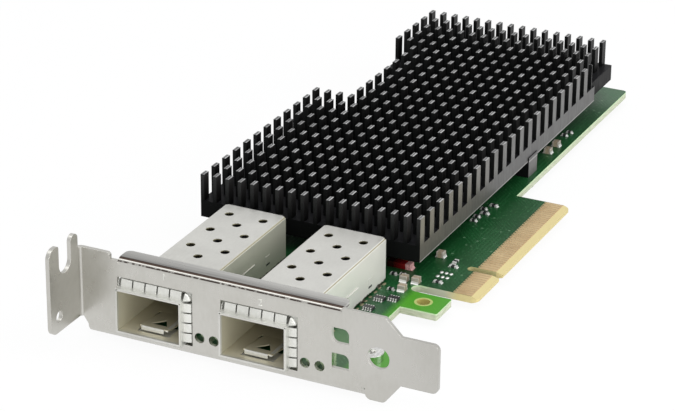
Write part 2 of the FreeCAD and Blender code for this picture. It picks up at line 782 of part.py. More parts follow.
for index, hand in enumerate(("left", "right")):
    middle = port_place(index)
    inner = "(cage_width / 2 - cage_wall)"
    length = "(cage_protrusion + cage_rear)"
    halfway = "((cage_rear - cage_protrusion) / 2)"

    cage = new_body("cage_%s_body" % hand)
    plan = new_sketch(cage, "cage_plan_" + hand, "XY_Plane", "cage_floor")
    near = middle + " - cage_width / 2"
    far = middle + " + cage_width / 2"
    polygon(plan, [(near, "-cage_protrusion"), (far, "-cage_protrusion"),
                   (far, "cage_rear - cage_rear_chamfer"), (far + " - cage_rear_chamfer", "cage_rear"),
                   (near + " + cage_rear_chamfer", "cage_rear"), (near, "cage_rear - cage_rear_chamfer")])
    shell = pad(cage, plan, "cage_top - cage_floor")
    bevelled(cage, shell, [roof_edge(VALUES["cage_top"], -VALUES["cage_protrusion"])], "cage_edge_radius")
    hollow = new_sketch(cage, "cage_hollow_" + hand, "XZ_Plane",
                        "-(cage_rear - cage_rear_chamfer - cage_protrusion - sheet_thick) / 2")
    rectangle(hollow, middle + " - " + inner, "cage_floor + cage_wall", middle + " + " + inner,
              "cage_top - cage_wall")
    pocket(cage, hollow, "cage_rear - cage_rear_chamfer + cage_protrusion + sheet_thick")

    # staggered vents in the roof, the opening for the connector, the latch in the floor
    vents = new_sketch(cage, "cage_vents_" + hand, "XY_Plane", "cage_top")
    circle(vents, middle + " - cage_hole_x", "cage_hole_y", "cage_hole_radius")
    circle(vents, middle + " + cage_hole_x", "cage_hole_y", "cage_hole_radius")
    circle(vents, middle, "cage_hole_y - cage_hole_pitch / 2", "cage_hole_radius")
    vent_cut = pocket(cage, vents, "4 * cage_wall")
    repeat(cage, vent_cut, vents, "V_Axis", "cage_hole_pitch", 3)
    under = new_sketch(cage, "cage_under_" + hand, "XY_Plane", "cage_floor")
    rectangle(under, middle + " - " + inner, "cage_floor_opening", middle + " + " + inner,
              "cage_rear - cage_rear_chamfer")
    rectangle(under, middle + " - latch_half - latch_slit", "latch_front", middle + " + latch_half + latch_slit",
              "latch_front + latch_length")
    pocket(cage, under, "4 * cage_wall")
    tongue = new_sketch(cage, "latch_tongue_" + hand, "YZ_Plane", middle)
    polygon(tongue, [("latch_front + latch_slit", "cage_floor + latch_rise"),
                     ("latch_front + latch_length", "cage_floor"),
                     ("latch_front + latch_length + cage_wall", "cage_floor"),
                     ("latch_front + latch_length + cage_wall", "cage_floor + cage_wall"),
                     ("latch_front + latch_length", "cage_floor + cage_wall"),
                     ("latch_front + latch_slit", "cage_floor + latch_rise + cage_wall")])
    pad(cage, tongue, "2 * latch_half", middle=True)
    catch = new_sketch(cage, "latch_hole_" + hand, "XY_Plane", "cage_floor + latch_rise")
    polygon(catch, [(middle + " - latch_half * 0.6", "latch_front + latch_length * 0.25"),
                    (middle + " + latch_half * 0.6", "latch_front + latch_length * 0.25"),
                    (middle, "latch_front + latch_length * 0.6")])
    pocket(cage, catch, "4 * latch_rise")

    # press-in pins with shoulders that stand on the board
    for side in (-1, 1):
        wall = middle + " + %d * (cage_width - cage_wall) / 2" % side
        legs = new_sketch(cage, "cage_pin_%s_%s" % (hand, "a" if side < 0 else "b"), "YZ_Plane", wall)
        polygon(legs, [("pin_first - pin_shoulder / 2", "cage_floor + cage_wall"),
                       ("pin_first - pin_shoulder / 2", "0 * pin_width"),
                       ("pin_first - pin_width / 2", "0 * pin_width"),
                       ("pin_first - pin_width / 2", "-board_thick - pin_below"),
                       ("pin_first + pin_width / 2", "-board_thick - pin_below"),
                       ("pin_first + pin_width / 2", "0 * pin_width"),
                       ("pin_first + pin_shoulder / 2", "0 * pin_width"),
                       ("pin_first + pin_shoulder / 2", "cage_floor + cage_wall")])
        leg_pad = pad(cage, legs, "cage_wall", middle=True)
        repeat(cage, leg_pad, legs, "H_Axis", "pin_spacing", PIN_COUNT)
    node(cage, "cage_" + hand)

    # spring collar: a sleeve round the cage's mouth with rows of bulging fingers
    collar = new_body("collar_%s_body" % hand)
    ring = new_sketch(collar, "collar_ring_" + hand, "XZ_Plane", "-(collar_end_y - collar_front) / 2")
    rectangle(ring, middle + " - cage_width / 2 - collar_thick", "cage_floor - collar_thick",
              middle + " + cage_width / 2 + collar_thick", "cage_top + collar_thick")
    rectangle(ring, middle + " - cage_width / 2", "cage_floor", middle + " + cage_width / 2", "cage_top")
    pad(collar, ring, "collar_front + collar_end_y", middle=True)

    def leaf(base, sign, reach):
        """Section of a finger: out from the sleeve, over its crown and back."""
        def out(distance):
            return "%s %s (%s)" % (base, sign, distance)
        low = out("collar_thick / 2")
        return [("-collar_front + collar_band", low),
                ("-collar_front + collar_band + collar_crown / 3", out(reach + " * 0.55")),
                ("collar_peak_y - collar_crown", out(reach + " - collar_thick / 2")),
                ("collar_peak_y", out(reach)),
                ("collar_peak_y + collar_crown", out(reach + " - collar_thick / 2")),
                ("collar_rear_y", low),
                ("collar_rear_y - 3 * collar_thick", low),
                ("collar_peak_y + collar_crown", out(reach + " - 2 * collar_thick")),
                ("collar_peak_y", out(reach + " - 1.5 * collar_thick")),
                ("collar_peak_y - collar_crown + collar_thick", out(reach + " - 2 * collar_thick")),
                ("-collar_front + collar_band + collar_crown / 3 + 1.5 * collar_thick", out(reach + " * 0.4")),
                ("-collar_front + collar_band + 2 * collar_thick", low)]

    wide = "((cage_width - 2 * finger_end_gap - %d * finger_gap) / %d)" % (TOP_FINGERS - 1, TOP_FINGERS)
    top_leaf = new_sketch(collar, "top_finger_" + hand, "YZ_Plane",
                          middle + " - cage_width / 2 + finger_end_gap + " + wide + " / 2")
    polygon(top_leaf, leaf("cage_top", "+", "collar_reach_top"))
    first = pad(collar, top_leaf, wide, middle=True)
    repeat(collar, first, top_leaf, "N_Axis", wide + " + finger_gap", TOP_FINGERS)
    tall = "((cage_top - cage_floor - 2 * finger_end_gap - %d * finger_gap) / %d)" % (
        SIDE_FINGERS - 1, SIDE_FINGERS)
    for side, sign, reach in (("near", "-", "collar_reach_left"), ("far", "+", "collar_reach_right")):
        side_leaf = new_sketch(collar, "%s_finger_%s" % (side, hand), "XY_Plane",
                               "cage_floor + finger_end_gap + " + tall + " / 2")
        wall = middle + " %s cage_width / 2" % sign
        polygon(side_leaf, [(v, u) for u, v in leaf(wall, sign, reach)])
        first = pad(collar, side_leaf, tall, middle=True)
        repeat(collar, first, side_leaf, "N_Axis", tall + " + finger_gap", SIDE_FINGERS)
    node(collar, "collar_" + hand)

    # connector on the board at the back of the cage
    socket = new_body("socket_%s_body" % hand)
    block = new_sketch(socket, "socket_block_" + hand, "YZ_Plane", middle)
    polygon(block, [("socket_front", "0 * socket_height"), ("socket_rear", "0 * socket_height"),
                    ("socket_rear", "socket_height"), ("socket_front + socket_chamfer", "socket_height"),
                    ("socket_front", "socket_height - socket_chamfer")])
    pad(socket, block, "socket_width", middle=True)
    mouth = new_sketch(socket, "socket_mouth_" + hand, "XZ_Plane", "-socket_front")
    rectangle(mouth, middle + " - socket_mouth_width / 2", "socket_mouth_bottom",
              middle + " + socket_mouth_width / 2", "socket_mouth_bottom + socket_mouth_height")
    pocket(socket, mouth, "2 * socket_mouth_depth")
    node(socket, "port_connector_" + hand)

# ---------------------------------------------------------------- status lights

lights = []
for index in range(2):
    for step in range(2):
        middle = light_place(index, step)
        name = "light_%d" % (2 * index + step + 1)
        housing = box(name + "_housing", middle + " - light_half", "light_front", "0 * light_half",
                      middle + " + light_half", "light_rear", "light_top")
        lens = doc.addObject("Part::Cylinder", name + "_lens")
        drive(lens, Radius="lens_radius", Height="lens_length + lens_radius")
        place(lens, middle, "light_front - lens_length", "led_height")
        lens.Placement.Rotation = FreeCAD.Rotation(Vector(1, 0, 0), -90)
        lights.append(fuse(name, [housing, lens]))
node(group("status_lights_group", lights), "status_lights")

# ---------------------------------------------------------------- pin-fin heatsink

PIN_ROWS = 24
PIN_COLUMNS = 18
FIN_PITCH_X = "((sink_right - sink_left - fin_x) / %d)" % (PIN_COLUMNS - 1)
FIN_PITCH_Y = "((sink_rear - sink_front - fin_y) / %d)" % (PIN_ROWS - 1)
NOTCH_X = "(sink_left + 3 * %s)" % FIN_PITCH_X
NOTCH_FRONT = "(sink_front + 11 * %s + fin_y)" % FIN_PITCH_Y
FIRST_REAR_ROW = "(sink_front + 19 * %s)" % FIN_PITCH_Y
NOTCH_REAR = "(%s - notch_shelf)" % FIRST_REAR_ROW
REAR_LEFT = "(sink_left + %s)" % FIN_PITCH_X
REAR_STEP_X = "(sink_right - rear_step_inset)"
REAR_STEP_Y = "(sink_rear - rear_step_depth)"
REAR_PINS_RIGHT = "(sink_left + 16 * %s + fin_x)" % FIN_PITCH_X
sink = new_body("heatsink_body")
plan = new_sketch(sink, "sink_outline", "XY_Plane", "sink_bottom")
polygon(plan, [
    ("sink_left", "sink_front"), ("sink_right", "sink_front"),
    ("sink_right", REAR_STEP_Y), (REAR_STEP_X, REAR_STEP_Y),
    (REAR_STEP_X, "sink_rear"), (REAR_LEFT, "sink_rear"),
    (REAR_LEFT, NOTCH_REAR), (NOTCH_X, NOTCH_REAR),
    (NOTCH_X, NOTCH_FRONT), ("sink_left", NOTCH_FRONT)])
pad(sink, plan, "pin_top - sink_bottom")

# the shelf at the notch's back and the ledge at the rear right corner carry no pins
MIDWAY = "(sink_floor + pin_top) / 2"
bare = new_sketch(sink, "bare_ledges", "XY_Plane", MIDWAY)
polygon(bare, [(REAR_LEFT + " - fin_x", NOTCH_REAR + " - fin_x"), (NOTCH_X, NOTCH_REAR + " - fin_x"),
               (NOTCH_X, FIRST_REAR_ROW), (REAR_LEFT + " - fin_x", FIRST_REAR_ROW)])
polygon(bare, [(REAR_PINS_RIGHT, REAR_STEP_Y + " - fin_y"), ("sink_right + fin_x", REAR_STEP_Y + " - fin_y"),
               ("sink_right + fin_x", "sink_rear + fin_y"), (REAR_PINS_RIGHT, "sink_rear + fin_y")])
pocket(sink, bare, "pin_top - sink_floor")

# underside: pedestal over the controller and four drilled legs
CHIP_TOP = "(ball_height + substrate_thick + lid_thick)"
pedestal = new_sketch(sink, "pedestal", "XY_Plane", CHIP_TOP + " + pad_thick")
rectangle(pedestal, "chip_x - pedestal_half", "chip_y - pedestal_half",
          "chip_x + pedestal_half", "chip_y + pedestal_half")
pad(sink, pedestal, "sink_bottom + leg_blend - " + CHIP_TOP + " - pad_thick")
legs = new_sketch(sink, "sink_legs", "XY_Plane", "0")
for x, y in LEGS:
    rectangle(legs, x + " - leg_side / 2", y + " - leg_side / 2", x + " + leg_side / 2", y + " + leg_side / 2")
pad(sink, legs, "sink_bottom + leg_blend")
drill = new_sketch(sink, "leg_bores", "XY_Plane", "0")
for x, y in LEGS:
    circle(drill, x, y, "screw_radius + screw_gap / 2")
pocket(sink, drill, "2 * (sink_screw_depth + screw_gap)")
# straight saw cuts both ways leave the pins standing
across = new_sketch(sink, "cross_cut", "XY_Plane", MIDWAY)
rectangle(across, "sink_left - fin_x", "sink_front + fin_y",
          "sink_right + fin_x", "sink_front + " + FIN_PITCH_Y)
first = pocket(sink, across, "pin_top - sink_floor")
repeat(sink, first, across, "V_Axis", FIN_PITCH_Y, PIN_ROWS - 1)
along = new_sketch(sink, "long_cut", "XY_Plane", MIDWAY)
rectangle(along, "sink_left + fin_x", "sink_front - fin_y",
          "sink_left + " + FIN_PITCH_X, "sink_rear + fin_y")
first = pocket(sink, along, "pin_top - sink_floor")
standing_pins = repeat(sink, first, along, "H_Axis", FIN_PITCH_X, PIN_COLUMNS - 1)
first.Refine = False
standing_pins.Refine = False

node(sink, "heatsink")

# ---------------------------------------------------------------- controller and pad

chip = new_body("controller_body")
for name, half, low, thick in (
        ("balls", "chip_half - lid_chamfer", "0 * chip_half", "ball_height"),
        ("substrate", "chip_half", "ball_height", "substrate_thick"),
        ("lid", "lid_half", "ball_height + substrate_thick", "lid_thick")):
    layer = new_sketch(chip, "chip_" + name, "XY_Plane", low)
    rectangle(layer, "chip_x - " + half.replace(" - ", " + "), "chip_y - " + half.replace(" - ", " + "),
              "chip_x + " + half, "chip_y + " + half)
    pad(chip, layer, thick)
node(chip, "controller_chip")
pad_block = box("thermal_pad_block", "chip_x - pad_half", "chip_y - pad_half", CHIP_TOP,
                "chip_x + pad_half", "chip_y + pad_half", CHIP_TOP + " + pad_thick")
node(group("thermal_pad_group", [pad_block]), "thermal_pad")

# ---------------------------------------------------------------- small parts on the board


def small(name, x, y, across, deep, tall):
    """A block that stands on the board, centred on x and y."""
    return box(name, "%s - %s / 2" % (x, across), "%s - %s / 2" % (y, deep), "0 * parts_gap",
               "%s + %s / 2" % (x, across), "%s + %s / 2" % (y, deep), tall)


def row_of(name, places, across, deep, tall):
    """Like blocks that share one node, each placed from a corner of the board."""
    blocks = []
    for index, (x, y) in enumerate(places):
        blocks.append(small("%s_%d" % (name, index + 1), x, y, across, deep, tall))
    return node(group(name + "_group", blocks), name)


EDGE = "board_right - "
row_of("ceramic_capacitors", [
    (CAGE_SIDE + " + 4.9", "foot_rear - 0.7"), (CAGE_SIDE + " + 3.4", "foot_rear + 3.6"),
    (CAGE_SIDE + " + 6.0", "foot_rear + 3.9"),
    (EDGE + "2.2", "key_y + 2.6"), (EDGE + "2.9", "key_y + 65.0"),
    (EDGE + "2.7", "key_y + 69.6")], "mlcc_long", "mlcc_wide", "mlcc_tall")
row_of("chip_resistors", [
    (CAGE_SIDE + " + 0.1", "foot_rear + 5.3"), (CAGE_SIDE + " + 2.0", "foot_rear + 5.9"),
    (CAGE_SIDE + " + 2.7", "foot_rear - 1.6"),
    (EDGE + "3.2", "key_y + 22.4"), (EDGE + "3.4", "key_y + 24.6"),
    (EDGE + "3.6", "key_y + 29.0"), (EDGE + "3.2", "key_y + 76.0"),
    (EDGE + "2.8", "key_y + 78.2")], "resistor_long", "resistor_wide", "resistor_tall")
row_of("resistor_arrays", [
    (CAGE_SIDE + " + 2.4", "foot_front - 4.0"), (CAGE_SIDE + " + 2.6", "foot_front + 0.9"),
    (CAGE_SIDE + " + 5.2", "foot_front + 2.2")], "array_long", "array_wide", "array_tall")
row_of("contact_pads", [
    ("%s" % x, "%s" % y) for x in ("board_right + 1.2", "board_right + 2.6", "board_right + 4.0")
    for y in ("key_y - 5.2", "key_y - 7.2")], "pad_long", "pad_wide", "pad_tall")
row_of("chip_fuse", [("sink_right - 6.1", "sink_front + 3.8")], "fuse_long", "fuse_wide", "fuse_tall")
row_of("power_inductors", [
    (NOTCH_X + " - 4.6", NOTCH_FRONT + " + 7.0"), (NOTCH_X + " - 4.6", NOTCH_FRONT + " + 16.0")],
    "inductor_side", "inductor_side", "inductor_tall")
row_of("power_capacitors", [
    (NOTCH_X + " - 5.6", NOTCH_FRONT + " + 24.2"), (NOTCH_X + " - 2.4", NOTCH_FRONT + " + 24.2")],
    "tank_wide", "tank_long", "tank_tall")


def chip_with_leads(name, x, y, half_x, half_y, tall, leads, spread):
    """A moulded package whose gull-wing leads stand on the board on two sides."""
    parts = [box(name + "_case", x + " - " + half_x, y + " - " + half_y, "lead_rise",
                 x + " + " + half_x, y + " + " + half_y, "lead_rise + " + tall)]
    for step in range(leads):
        along_y = "%s + %.1f * %s" % (y, step - (leads - 1) / 2, spread)
        parts.append(box("%s_lead_%d" % (name, step + 1), x + " - " + half_x + " - lead_reach",
                         along_y + " - lead_wide / 2", "0 * lead_rise",
                         x + " + " + half_x + " + lead_reach", along_y + " + lead_wide / 2",
                         "lead_rise + lead_rise"))
    return fuse(name, parts)


node(chip_with_leads("flash_case", "chip_x - 14.0", "chip_y + 52.0", "flash_half_x", "flash_half_y",
                     "flash_tall", 4, "flash_pitch"), "flash_memory")
node(chip_with_leads("regulator_case", "chip_x + 10.0", "chip_y + 52.0", "flash_half_x", "flash_half_y",
                     "flash_tall", 4, "flash_pitch"), "power_regulator")
row_of("clock_crystal", [("chip_x + 17.0", "chip_y + 18.0")], "crystal_long", "crystal_wide", "crystal_tall")

# ---------------------------------------------------------------- test and write

doc.recompute()
FAULTS = []
for item in doc.Objects:
    state = " ".join(item.State)
    if "Invalid" in state or "Error" in state:
        FAULTS.append("%s is %s" % (item.Name, state))
for item in NODES:
    shape = item.Shape
    if shape.isNull() or not shape.isValid() or not shape.Solids:
        FAULTS.append("%s has no valid solid" % item.Label)
if FAULTS:
    raise RuntimeError("; ".join(FAULTS))

# a cut that ran the wrong way would leave one of these volumes too large
board_blank = board_pad.Shape.Volume
board_left_over = board.Shape.Volume
if not 0.9 * board_blank < board_left_over < board_blank:
    raise RuntimeError("board cuts are wrong: %.0f of %.0f" % (board_left_over, board_blank))
openings_area = (openings.BaseFeature.Shape.Volume - openings.Shape.Volume) / VALUES["sheet_thick"]
cutout_area = number("(cage_width + collar_reach_left + collar_reach_right + 2 * cutout_gap) * "
                     "(cage_top + collar_reach_top + cutout_gap - cutout_bottom)")
round_area = math.pi * (4 * VALUES["led_hole_radius"] ** 2 + VALUES["round_hole_radius"] ** 2)
expected_area = 2 * cutout_area + 2 * VALUES["vent_width"] * VALUES["vent_height"] + round_area
if not 0.98 < openings_area / expected_area < 1.02:
    raise RuntimeError("bracket openings are wrong: %.0f of %.0f" % (openings_area, expected_area))

os.makedirs("parts", exist_ok=True)
for item in NODES:
    item.Shape.exportStep("parts/%s.step" % item.Label)
    print("%-22s solids %3d faces %5d volume %10.1f" % (
        item.Label, len(item.Shape.Solids), len(item.Shape.Faces), item.Shape.Volume))
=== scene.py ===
import bpy
import bmesh
import math
import random
from mathutils import Matrix, Vector


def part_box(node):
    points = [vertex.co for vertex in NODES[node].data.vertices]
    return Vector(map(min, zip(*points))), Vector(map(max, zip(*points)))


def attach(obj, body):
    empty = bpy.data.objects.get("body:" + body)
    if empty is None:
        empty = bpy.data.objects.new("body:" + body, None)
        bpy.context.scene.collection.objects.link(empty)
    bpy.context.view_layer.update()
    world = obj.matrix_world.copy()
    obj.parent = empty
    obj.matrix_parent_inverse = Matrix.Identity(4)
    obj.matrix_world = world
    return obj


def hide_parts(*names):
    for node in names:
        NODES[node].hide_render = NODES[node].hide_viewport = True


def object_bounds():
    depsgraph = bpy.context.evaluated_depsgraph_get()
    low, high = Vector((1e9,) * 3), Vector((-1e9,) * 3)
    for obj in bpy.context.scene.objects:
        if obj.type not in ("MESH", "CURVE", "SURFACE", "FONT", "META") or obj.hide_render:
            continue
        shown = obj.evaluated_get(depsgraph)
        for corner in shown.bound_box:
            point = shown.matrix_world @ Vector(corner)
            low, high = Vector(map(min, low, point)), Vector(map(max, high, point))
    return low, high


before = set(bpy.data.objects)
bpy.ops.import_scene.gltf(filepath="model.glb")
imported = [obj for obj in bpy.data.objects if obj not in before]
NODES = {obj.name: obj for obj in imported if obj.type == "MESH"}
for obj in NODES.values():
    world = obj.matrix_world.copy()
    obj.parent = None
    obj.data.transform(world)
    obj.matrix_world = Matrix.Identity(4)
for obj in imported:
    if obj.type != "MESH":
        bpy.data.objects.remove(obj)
cad_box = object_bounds()
MM = 0.001
SEED = 7
random.seed(SEED)

# The row frame's origin is the hole in the board's foot. Places on the card are given
# from the bracket: X from the tab's inner face, Y from the front of the bracket's face.
BRACKET_LOW, BRACKET_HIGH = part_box("bracket")
SINK_LOW, SINK_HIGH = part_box("heatsink")
TAB_X = BRACKET_LOW[0] + 0.86 * MM
FACE_Y = BRACKET_LOW[1] + 11.55 * MM


def spot(x, y, z=0.0):
    """A place given in millimetres from the bracket."""
    return Vector((TAB_X + x * MM, FACE_Y + y * MM, z * MM))


# places and lengths in metres, in the row frame
RIM_LEFT, RIM_RIGHT = spot(8.8, 0).x, spot(58.6, 0).x
RIM_TOP = 16.03 * MM
FIN_PITCH = 3.0094 * MM
SINK_STRIP_LOW = 3.82 * MM
CONTACT_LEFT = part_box("edge_contacts")[0][0]
MAIN_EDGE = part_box("contact_pads")[0][0] - 0.7 * MM
TONGUE_FRONT = 6.81 * MM
BEVEL_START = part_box("circuit_board")[1][0] - 1.5 * MM

# places and lengths in millimetres, for spot()
CAGE_MIDDLES = 16.5, 39.92
CAGE_HALF = 7.34
CAGE_TOP = 9.95
BOARD_BELOW = -1.57


# ------------------------------------------------------------------ material helpers

class Shade:
    """A node material built step by step, in metres of the row frame."""

    def __init__(self, name):
        self.material = bpy.data.materials.new(name)
        self.material.use_nodes = True
        self.tree = self.material.node_tree
        self.shader = self.tree.nodes["Principled BSDF"]
        self.place = self.tree.nodes.new("ShaderNodeTexCoord").outputs["Object"]

    def add(self, kind, **values):
        node = self.tree.nodes.new(kind)
        for key, value in values.items():
            setattr(node, key, value)
        return node

    def link(self, source, target):
        self.tree.links.new(source, target)

    def set(self, **values):
        for key, value in values.items():
            self.shader.inputs[key.replace("_", " ")].default_value = value

    def mapped(self, scale):
        node = self.add("ShaderNodeMapping")
        node.inputs["Scale"].default_value = scale
        self.link(self.place, node.inputs["Vector"])
        return node.outputs["Vector"]

    def noise(self, size, detail=3.0, rough=0.55, vector=None):
        """Noise whose grain is about size metres."""
        node = self.add("ShaderNodeTexNoise")
        node.inputs["Scale"].default_value = 1.0 / size
        node.inputs["Detail"].default_value = detail
        node.inputs["Roughness"].default_value = rough
        self.link(vector or self.place, node.inputs["Vector"])
        return node.outputs["Fac"]

    def math(self, operation, first, second=None, clamp=False):
        node = self.add("ShaderNodeMath", operation=operation, use_clamp=clamp)
        for index, value in enumerate((first, second)):
            if value is None:
                continue
            if isinstance(value, (int, float)):
                node.inputs[index].default_value = value
            else:
                self.link(value, node.inputs[index])
        return node.outputs[0]

    def times(self, first, second):
        return self.math("MULTIPLY", first, second)

    def plus(self, first, second, clamp=False):
        return self.math("ADD", first, second, clamp)

    def steps(self, factor, stops):
        """A ramp from value to colour."""
        node = self.add("ShaderNodeValToRGB")
        ramp = node.color_ramp
        while len(ramp.elements) < len(stops):
            ramp.elements.new(0.5)
        for element, (position, colour) in zip(ramp.elements, stops):
            element.position = position
            element.color = (*colour, 1.0)
        self.link(factor, node.inputs["Fac"])
        return node.outputs["Color"]

    def span(self, factor, low, high, to_low=0.0, to_high=1.0):
        """Maps low..high of the factor to to_low..to_high and holds the ends."""
        node = self.add("ShaderNodeMapRange")
        limits = {"From Min": low, "From Max": high, "To Min": to_low, "To Max": to_high}
        for key, value in limits.items():
            node.inputs[key].default_value = value
        self.link(factor, node.inputs["Value"])
        return node.outputs["Result"]

    def mix(self, factor, first, second, blend="MIX"):
        node = self.add("ShaderNodeMix", data_type="RGBA", blend_type=blend)
        for key, value in ((0, factor), (6, first), (7, second)):
            if isinstance(value, tuple):
                node.inputs[key].default_value = (*value, 1.0)
            elif isinstance(value, (int, float)):
                node.inputs[key].default_value = value
            else:
                self.link(value, node.inputs[key])
        return node.outputs[2]

    def axes(self, vector=None):
        node = self.add("ShaderNodeSeparateXYZ")
        self.link(vector or self.place, node.inputs[0])
        return node.outputs

    def normal(self):
        return self.axes(self.add("ShaderNodeNewGeometry").outputs["Normal"])

    def facing(self, component, low=0.5, high=0.8):
        """1 on faces that look along an axis either way, from that part of the normal."""
        return self.span(self.math("ABSOLUTE", component), low, high)

    def colour(self, source):
        self.link(source, self.shader.inputs["Base Color"])

    def rough(self, source):
        self.link(source, self.shader.inputs["Roughness"])

    def bump(self, height, strength, distance, edge=0.0):
        """Relief from a height, over edges that are rounded by edge metres."""
        node = self.add("ShaderNodeBump")
        node.inputs["Strength"].default_value = strength
        node.inputs["Distance"].default_value = distance
        self.link(height, node.inputs["Height"])
        if edge > 0:
            corner = self.add("ShaderNodeBevel", samples=4)
            corner.inputs["Radius"].default_value = edge
            self.link(corner.outputs["Normal"], node.inputs["Normal"])
        self.link(node.outputs["Normal"], self.shader.inputs["Normal"])

    def band(self, value, low, high, soft):
        """1 where value lies between low and high, fading over soft."""
        rise = self.span(value, low - soft, low)
        fall = self.span(value, high, high + soft, 1.0, 0.0)
        return self.times(rise, fall)


def plated(name, colour, dark, roughness, grain, bump_strength=0.12, metallic=1.0,
           edge=0.12 * MM):
    """Plated sheet metal: cloudy tone, fine rolling grain, slightly uneven gloss."""
    shade = Shade(name)
    shade.set(Metallic=metallic)
    cloud = shade.noise(14 * MM, 4.0)
    fine = shade.noise(grain, 2.0, vector=shade.mapped((1.0, 0.35, 0.35)))
    tone = shade.plus(shade.times(cloud, 0.7), shade.times(fine, 0.3))
    shade.tone = shade.steps(tone, [(0.3, dark), (0.62, colour)])
    shade.colour(shade.tone)
    gloss = shade.noise(3 * MM, 3.0)
    shade.rough(shade.span(gloss, 0.3, 0.7, roughness - 0.05, roughness + 0.07))
    shade.bump(fine, bump_strength, 0.03 * MM, edge)
    return shade


def bracket_metal():
    """Nickel plate, with painted dark reflection lines and a painted sheen along the bent rim, and
    painted shade at its ends.
    """
    shade = plated("bracket_nickel", (0.595, 0.585, 0.55), (0.53, 0.52, 0.48), 0.3, 0.5 * MM)
    # colours of painted dark reflection lines along the bend, and of painted shade at the right end
    # and on the rim's left
    painted_reflection_line_low, painted_reflection_line_high = (0.06, 0.045, 0.04), (0.06, 0.042, 0.034)
    painted_shade_right, painted_shade_left = (0.30, 0.295, 0.28), (0.10, 0.10, 0.098)
    x, y, z = shade.axes()
    rim = shade.times(shade.band(x, RIM_LEFT, RIM_RIGHT, 0.05 * MM),
                      shade.span(y, FACE_Y - 0.1 * MM, FACE_Y - 0.05 * MM))
    # two painted dark reflection lines along the bend, and a painted sheen over the rim's top
    line_z = RIM_TOP - 0.74 * MM
    uneven = shade.span(shade.noise(0.9 * MM, 2.0), 0.36, 0.5, 0.15, 1.0)
    lower = shade.times(shade.band(z, line_z, line_z + 0.2 * MM, 0.06 * MM), uneven)
    upper = shade.times(shade.span(z, RIM_TOP - 0.5 * MM, RIM_TOP - 0.3 * MM),
                        shade.band(y, FACE_Y + 0.62 * MM, FACE_Y + 1.12 * MM, 0.08 * MM))
    top = shade.span(y, FACE_Y + 1.1 * MM, FACE_Y + 1.2 * MM)
    streak = shade.noise(0.35 * MM, 2.0, vector=shade.mapped((0.02, 1.0, 1.0)))
    run = shade.plus(shade.span(y, FACE_Y + 1.2 * MM, FACE_Y + 4.2 * MM),
                     shade.span(streak, 0.35, 0.65, -0.18, 0.18))
    sheen = shade.steps(run, [(0.0, (0.24, 0.235, 0.23)), (0.12, (0.40, 0.395, 0.38)),
                              (0.5, (0.50, 0.495, 0.475)), (1.0, (0.62, 0.615, 0.59))])
    # painted shade: the rim's painted sheen darkens towards its left
    sheen = shade.mix(shade.span(x, RIM_LEFT, RIM_RIGHT, 0.22, 0.0), sheen, painted_shade_left)
    # painted shade towards the bracket's right end
    right = shade.span(x, RIM_RIGHT - 4 * MM, BRACKET_HIGH[0], 0.0, 0.22)
    colour = shade.mix(right, shade.tone, painted_shade_right)
    colour = shade.mix(shade.times(rim, top), colour, sheen)
    colour = shade.mix(shade.times(rim, upper), colour, painted_reflection_line_high)
    colour = shade.mix(shade.times(rim, lower), colour, painted_reflection_line_low)
    shade.colour(colour)
    return shade.material


def cage_metal():
    """Nickel silver: matt roof; painted light on the right cage's walls and painted shade on the
    left cage's; painted light and shade inside the bays; a painted shadow along the walls' foot.
    """
    shade = plated("cage_nickel", (0.66, 0.655, 0.62), (0.58, 0.575, 0.54), 0.42, 0.4 * MM)
    # painted light and shade: light walls on the right cage, olive shaded walls on the left, a lit
    # floor, shaded walls and deeper shade in the bays, and a shadow line along the walls' foot
    painted_lit_cage_wall, painted_shaded_cage_wall = (0.76, 0.755, 0.70), (0.52, 0.52, 0.43)
    painted_lit_bay_floor, painted_shaded_bay_wall, painted_deep_bay_shade = (0.68, 0.64, 0.50), (0.49, 0.46, 0.34), (0.30, 0.27, 0.17)
    painted_foot_shadow = (0.055, 0.05, 0.035)
    bay_half = 7.2
    x, y, z = shade.axes()
    wall = shade.facing(shade.normal()[0])
    bays = [shade.band(x, spot(middle - bay_half, 0).x, spot(middle + bay_half, 0).x, 0.05 * MM)
            for middle in CAGE_MIDDLES]
    bay = shade.math("MAXIMUM", *bays)
    bay = shade.times(bay, shade.band(z, 0.55 * MM, 9.8 * MM, 0.05 * MM))
    bay = shade.times(bay, shade.span(y, FACE_Y - 1.6 * MM, FACE_Y - 0.9 * MM))
    # painted light on the right cage's walls, painted shade on the left cage's
    left_cage = shade.span(x, spot(27, 0).x, spot(29, 0).x, 1.0, 0.0)
    colour = shade.mix(wall, shade.tone, shade.mix(left_cage, painted_lit_cage_wall, painted_shaded_cage_wall))
    # painted shadow along the foot of the walls, with a ragged top
    uneven = shade.span(shade.noise(1.1 * MM, 2.0), 0.3, 0.7, -0.28 * MM, 0.28 * MM)
    foot = shade.span(shade.plus(z, uneven), 0.62 * MM, 0.72 * MM, 1.0, 0.0)
    colour = shade.mix(shade.times(wall, foot), colour, painted_foot_shadow)
    # painted shade inside the bays: darker deeper in, on a lit floor and shaded walls
    deep = shade.span(y, FACE_Y, FACE_Y + 16 * MM)
    inside = shade.mix(deep, shade.mix(wall, painted_lit_bay_floor, painted_shaded_bay_wall), painted_deep_bay_shade)
    shade.colour(shade.mix(bay, colour, inside))
    metallic = shade.math("SUBTRACT", shade.span(wall, 0.0, 1.0, 0.75, 0.35),
                          shade.times(bay, 0.3), True)
    shade.link(metallic, shade.shader.inputs["Metallic"])
    return shade.material


def spring_metal():
    return plated("spring_nickel", (0.72, 0.72, 0.68), (0.58, 0.58, 0.54), 0.34, 0.6 * MM, 0.3,
                  metallic=0.6).material


def screw_metal():
    # the large dark share of the tone is a painted dark reflection on the bright steel
    return plated("screw_steel", (0.88, 0.88, 0.86), (0.12, 0.12, 0.115), 0.14, 0.45 * MM,
                  0.8).material


